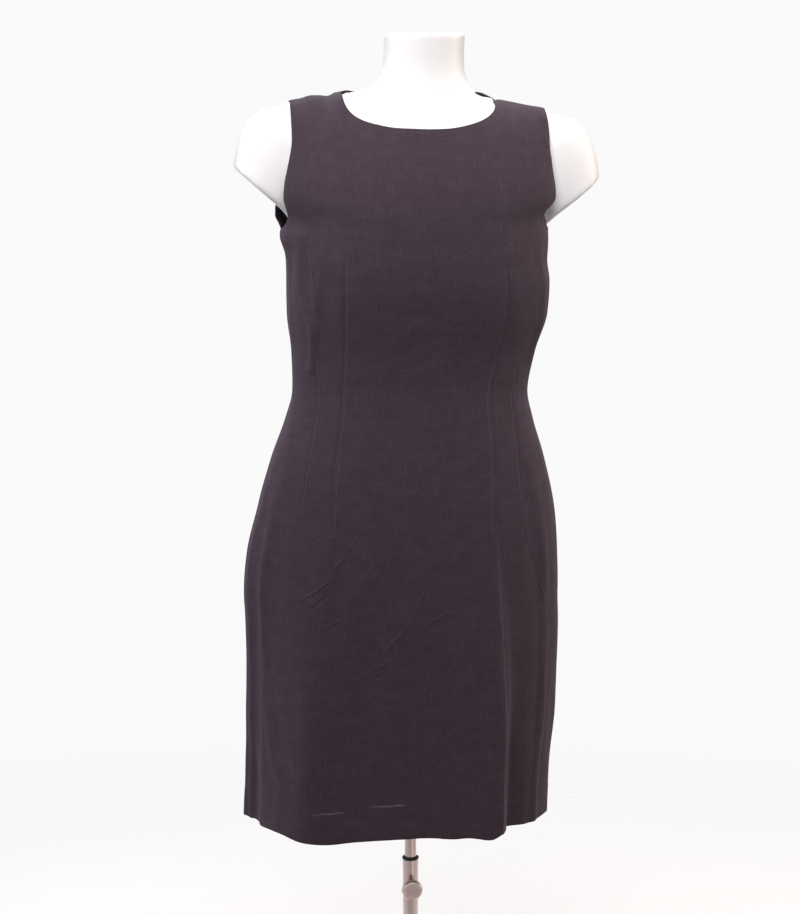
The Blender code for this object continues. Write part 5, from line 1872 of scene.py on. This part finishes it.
def turned_piece(name, rings, node, body_name):
    """A chromed piece made of turned rings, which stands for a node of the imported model."""
    mesh = bmesh.new()
    for profile, place in rings:
        turn_ring(mesh, profile, place)
    piece = scene_object(name, turned_mesh(name, mesh, TUBE_CORNER), chrome_round)
    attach(piece, body_name)
    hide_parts(node)
    print(name, len(piece.data.polygons), "faces")


outer_rings = ((TUBE_PROFILE, on_pole), (BOSS_PROFILE, on_clamp))
turned_piece("outer_tube_turned", outer_rings, "outer_tube", "stand")
turned_piece("inner_pole_turned", ((POLE_PROFILE, on_pole),), "inner_pole", "mast")

# %% [markdown]
# ## The clamp knob
# The knob that holds the pole faces the viewer. A turned disc would do from afar, but the real one
# is gripped by its milled rim, so its outline is a row of small flutes. Its face is dished inside a
# bright bevel, with the end of the screw in the middle. The profile is turned ring by ring, and each
# ring of the rim is fluted by a cosine.

# %% Turn the knob
KNOB_HEAD = 17.3
KNOB_THICK = 9.0
KNOB_CORNER = 50
KNOB_STEM = 3.1
STEM_START = 10.3
FLUTES = 36
FLUTE_DEPTH = 0.45
FLUTE_SHIFT = 0.2
KNOB_SIDES = FLUTES * 6
face = KNOB_HEAD + KNOB_THICK
# Radius, distance out from the pole's axis, and how much of the flutes' depth a ring has.
KNOB_PROFILE = (
    (0, STEM_START, 0), (KNOB_STEM, STEM_START, 0), (KNOB_STEM, KNOB_HEAD, 0), (10.6, KNOB_HEAD, 0),
    (12.4, KNOB_HEAD + 0.5, 0.3), (13.1, KNOB_HEAD + 1.3, 1), (13.1, face - 2.2, 1),
    (12.7, face - 1.2, 0.3), (12.1, face - 0.4, 0), (11.5, face, 0), (10.9, face - 0.1, 0),
    (10.5, face - 0.5, 0), (9.0, face - 0.75, 0), (6.0, face - 0.9, 0), (3.0, face - 0.97, 0),
    (0, face - 1.0, 0),
)


def knob_mesh():
    """The knob as a closed turned body about -Y at the clamp's height."""
    mesh = bmesh.new()
    loops = []
    for radius, out, fluted in KNOB_PROFILE:
        if radius == 0:
            loops.append([mesh.verts.new((0, -out * MM, CLAMP_HEIGHT * MM))] * KNOB_SIDES)
            continue
        ring = []
        for k in range(KNOB_SIDES):
            turn = 2 * math.pi * k / KNOB_SIDES
            far = radius + FLUTE_DEPTH * fluted * (math.cos(turn * FLUTES) - FLUTE_SHIFT)
            ring.append(mesh.verts.new(on_clamp(far, turn, out)))
        loops.append(ring)
    for low, high in zip(loops, loops[1:]):
        for k in range(KNOB_SIDES):
            j = (k + 1) % KNOB_SIDES
            corners = dict.fromkeys((low[k], low[j], high[j], high[k]))
            mesh.faces.new(list(corners))
    return turned_mesh("knob", mesh, KNOB_CORNER)


# The knob's pinkish tint is the same painted warm reflection.
knob_chrome = chrome_look("chrome_knob", (206, 182, 176), (500, 500, 500))
knob = scene_object("clamp_knob_milled", knob_mesh(), knob_chrome)
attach(knob, "knob")
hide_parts("clamp_knob")
print("knob:", len(knob.data.polygons), "faces")

# %% [markdown]
# ## The size of each piece
# A cutter lays the pieces flat. The sizes below are measured along each panel as it is worn, without
# the darts' cloth and the hem's turn-up: the panel's width at its widest and its full length, and the
# area of its surface.

def cloth_area(panel):
    """The area of one face of a panel, in square metres."""
    a = panel.points[1:, 1:] - panel.points[:-1, :-1]
    b = panel.points[1:, :-1] - panel.points[:-1, 1:]
    return float(np.linalg.norm(np.cross(a, b), axis=2).sum() / 2) * MM * MM


print("areas:", [round(cloth_area(panel), 4) for panel in panels])
print("widths:", [round(float(np.ptp(panel.across, axis=1).max())) for panel in panels])
print("lengths:", [round(float(panel.up.max())) for panel in panels])
for piece in back_pieces.values():
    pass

# %% [markdown]
# ## A pale floor
# The dress was shot high-key, so the floor has no edge and no horizon. A curved paper sweep would
# stand in the way when the dress is seen from behind. A round floor works from every side: it is
# solid under the stand and fades into the pale surroundings a couple of metres away.

# %% Floor
FLOOR_RADIUS = 3.0
FLOOR_SOLID = 0.6
FLOOR_CLEAR = 2.4
FLOOR_SIDES = 96

floor_mesh = bpy.data.meshes.new("floor")
turns = [2 * math.pi * k / FLOOR_SIDES for k in range(FLOOR_SIDES)]
rim = [(FLOOR_RADIUS * math.cos(t), FLOOR_RADIUS * math.sin(t), 0.0) for t in turns]
floor_mesh.from_pydata(rim, [], [tuple(range(FLOOR_SIDES))])
paper = Look("pale_floor", Roughness=0.85)
spot = paper.own_place()
distance = paper.node("ShaderNodeVectorMath", {"operation": "LENGTH"}, {0: spot}, "Value")
paper_tone = paper.mix(paper.noise(spot, 1.5), colour(238, 236, 236), colour(243, 241, 240))
paper_left = 1 - paper.between(distance, FLOOR_SOLID, FLOOR_CLEAR)
paper.give(Base_Color=paper_tone, Alpha=paper_left)
floor = scene_object("floor", floor_mesh, paper.material)
print("the floor fades out between", FLOOR_SOLID, "and", FLOOR_CLEAR, "m")

# %% [markdown]
# ## Studio light
# The main light is a soft box high in front with a grid on it, so that it is strong on the chest and
# falls off towards the hem. A cool one stands at the viewer's left and a warm one at the right,
# which tint the two edges of the cloth. One over the back lights the floor and the dress's back.
# A narrow faint one stands low in front, only for the bright streak that it draws on the chrome.
# Powers are in watts and the last number is the spread in degrees.

# %% Lights
def soft_box(name, place, target, size, power, tint=(1.0, 1.0, 1.0), spread=180):
    """A rectangular area light at a place, turned to a target, with the spread of its grid."""
    light = bpy.data.lights.new(name, "AREA")
    light.shape = "RECTANGLE"
    light.size, light.size_y = size
    light.energy = power
    light.color = tint
    light.spread = math.radians(spread)
    lamp = bpy.data.objects.new(name, light)
    lamp.location = place
    lamp.rotation_euler = (Vector(target) - Vector(place)).to_track_quat("-Z", "Y").to_euler()
    lamp.visible_camera = False
    scene.collection.objects.link(lamp)


ROSE = (1.0, 0.97, 0.98)
COOL = (0.86, 0.88, 1.0)
WARM = (1.0, 0.90, 0.78)
soft_box("key_box", (-0.25, -1.45, 2.75), (0, 0, 1.35), (1.4, 0.8), 8.7, ROSE, 64)
soft_box("left_box", (-2.4, 0.2, 1.8), (0, 0, 1.2), (1.4, 2.4), 33, COOL)
soft_box("right_box", (2.4, 0.2, 1.9), (0, 0, 1.3), (1.4, 2.2), 35, WARM)
soft_box("strip_box", (0.49, -0.87, 0.26), (0, 0, 0.60), (0.16, 0.34), 0.008, WARM, 36)
soft_box("back_box", (0.1, 1.5, 2.7), (0.1, 0.9, 0.0), (2.4, 1.6), 50)

print(len(bpy.data.lights), "lights")

# %% [markdown]
# ## Surroundings
# The surroundings look almost white to the camera but give little light, because light from all
# round would flatten the folds. The chrome mirrors a third, darker tone, as it would in a studio
# whose walls aren't lit. The kind of ray that reaches the surroundings chooses between them.

# %% Surroundings
# Strength and tone for the camera, for mirrors such as the chrome, and for all other light.
SURROUNDINGS_SEEN = (0.955, (1.0, 1.0, 1.0, 1.0))
SURROUNDINGS_MIRRORED = (0.55, (1.0, 0.93, 0.90, 1.0))
SURROUNDINGS_GIVEN = (0.12, (0.95, 0.94, 1.0, 1.0))
world = bpy.data.worlds.new("studio")
world.use_nodes = True
links, world_nodes = world.node_tree.links, world.node_tree.nodes
path = world_nodes.new("ShaderNodeLightPath")


def surroundings(strength, tone):
    """One even background."""
    made = world_nodes.new("ShaderNodeBackground")
    made.inputs["Strength"].default_value = strength
    made.inputs["Color"].default_value = tone
    return made.outputs["Background"]


def either(ray, others, chosen):
    """One background for a kind of ray, and another for all others."""
    made = world_nodes.new("ShaderNodeMixShader")
    links.new(path.outputs[ray], made.inputs["Fac"])
    links.new(others, made.inputs[1])
    links.new(chosen, made.inputs[2])
    return made.outputs["Shader"]


unseen = either(
    "Is Glossy Ray", surroundings(*SURROUNDINGS_GIVEN), surroundings(*SURROUNDINGS_MIRRORED)
)
shown = either("Is Camera Ray", unseen, surroundings(*SURROUNDINGS_SEEN))
links.new(shown, world_nodes["World Output"].inputs["Surface"])
scene.world = world
scene.view_settings.view_transform = "Standard"
scene.view_settings.look = "None"
print("surroundings:", SURROUNDINGS_SEEN[0], "seen and", SURROUNDINGS_GIVEN[0], "given")
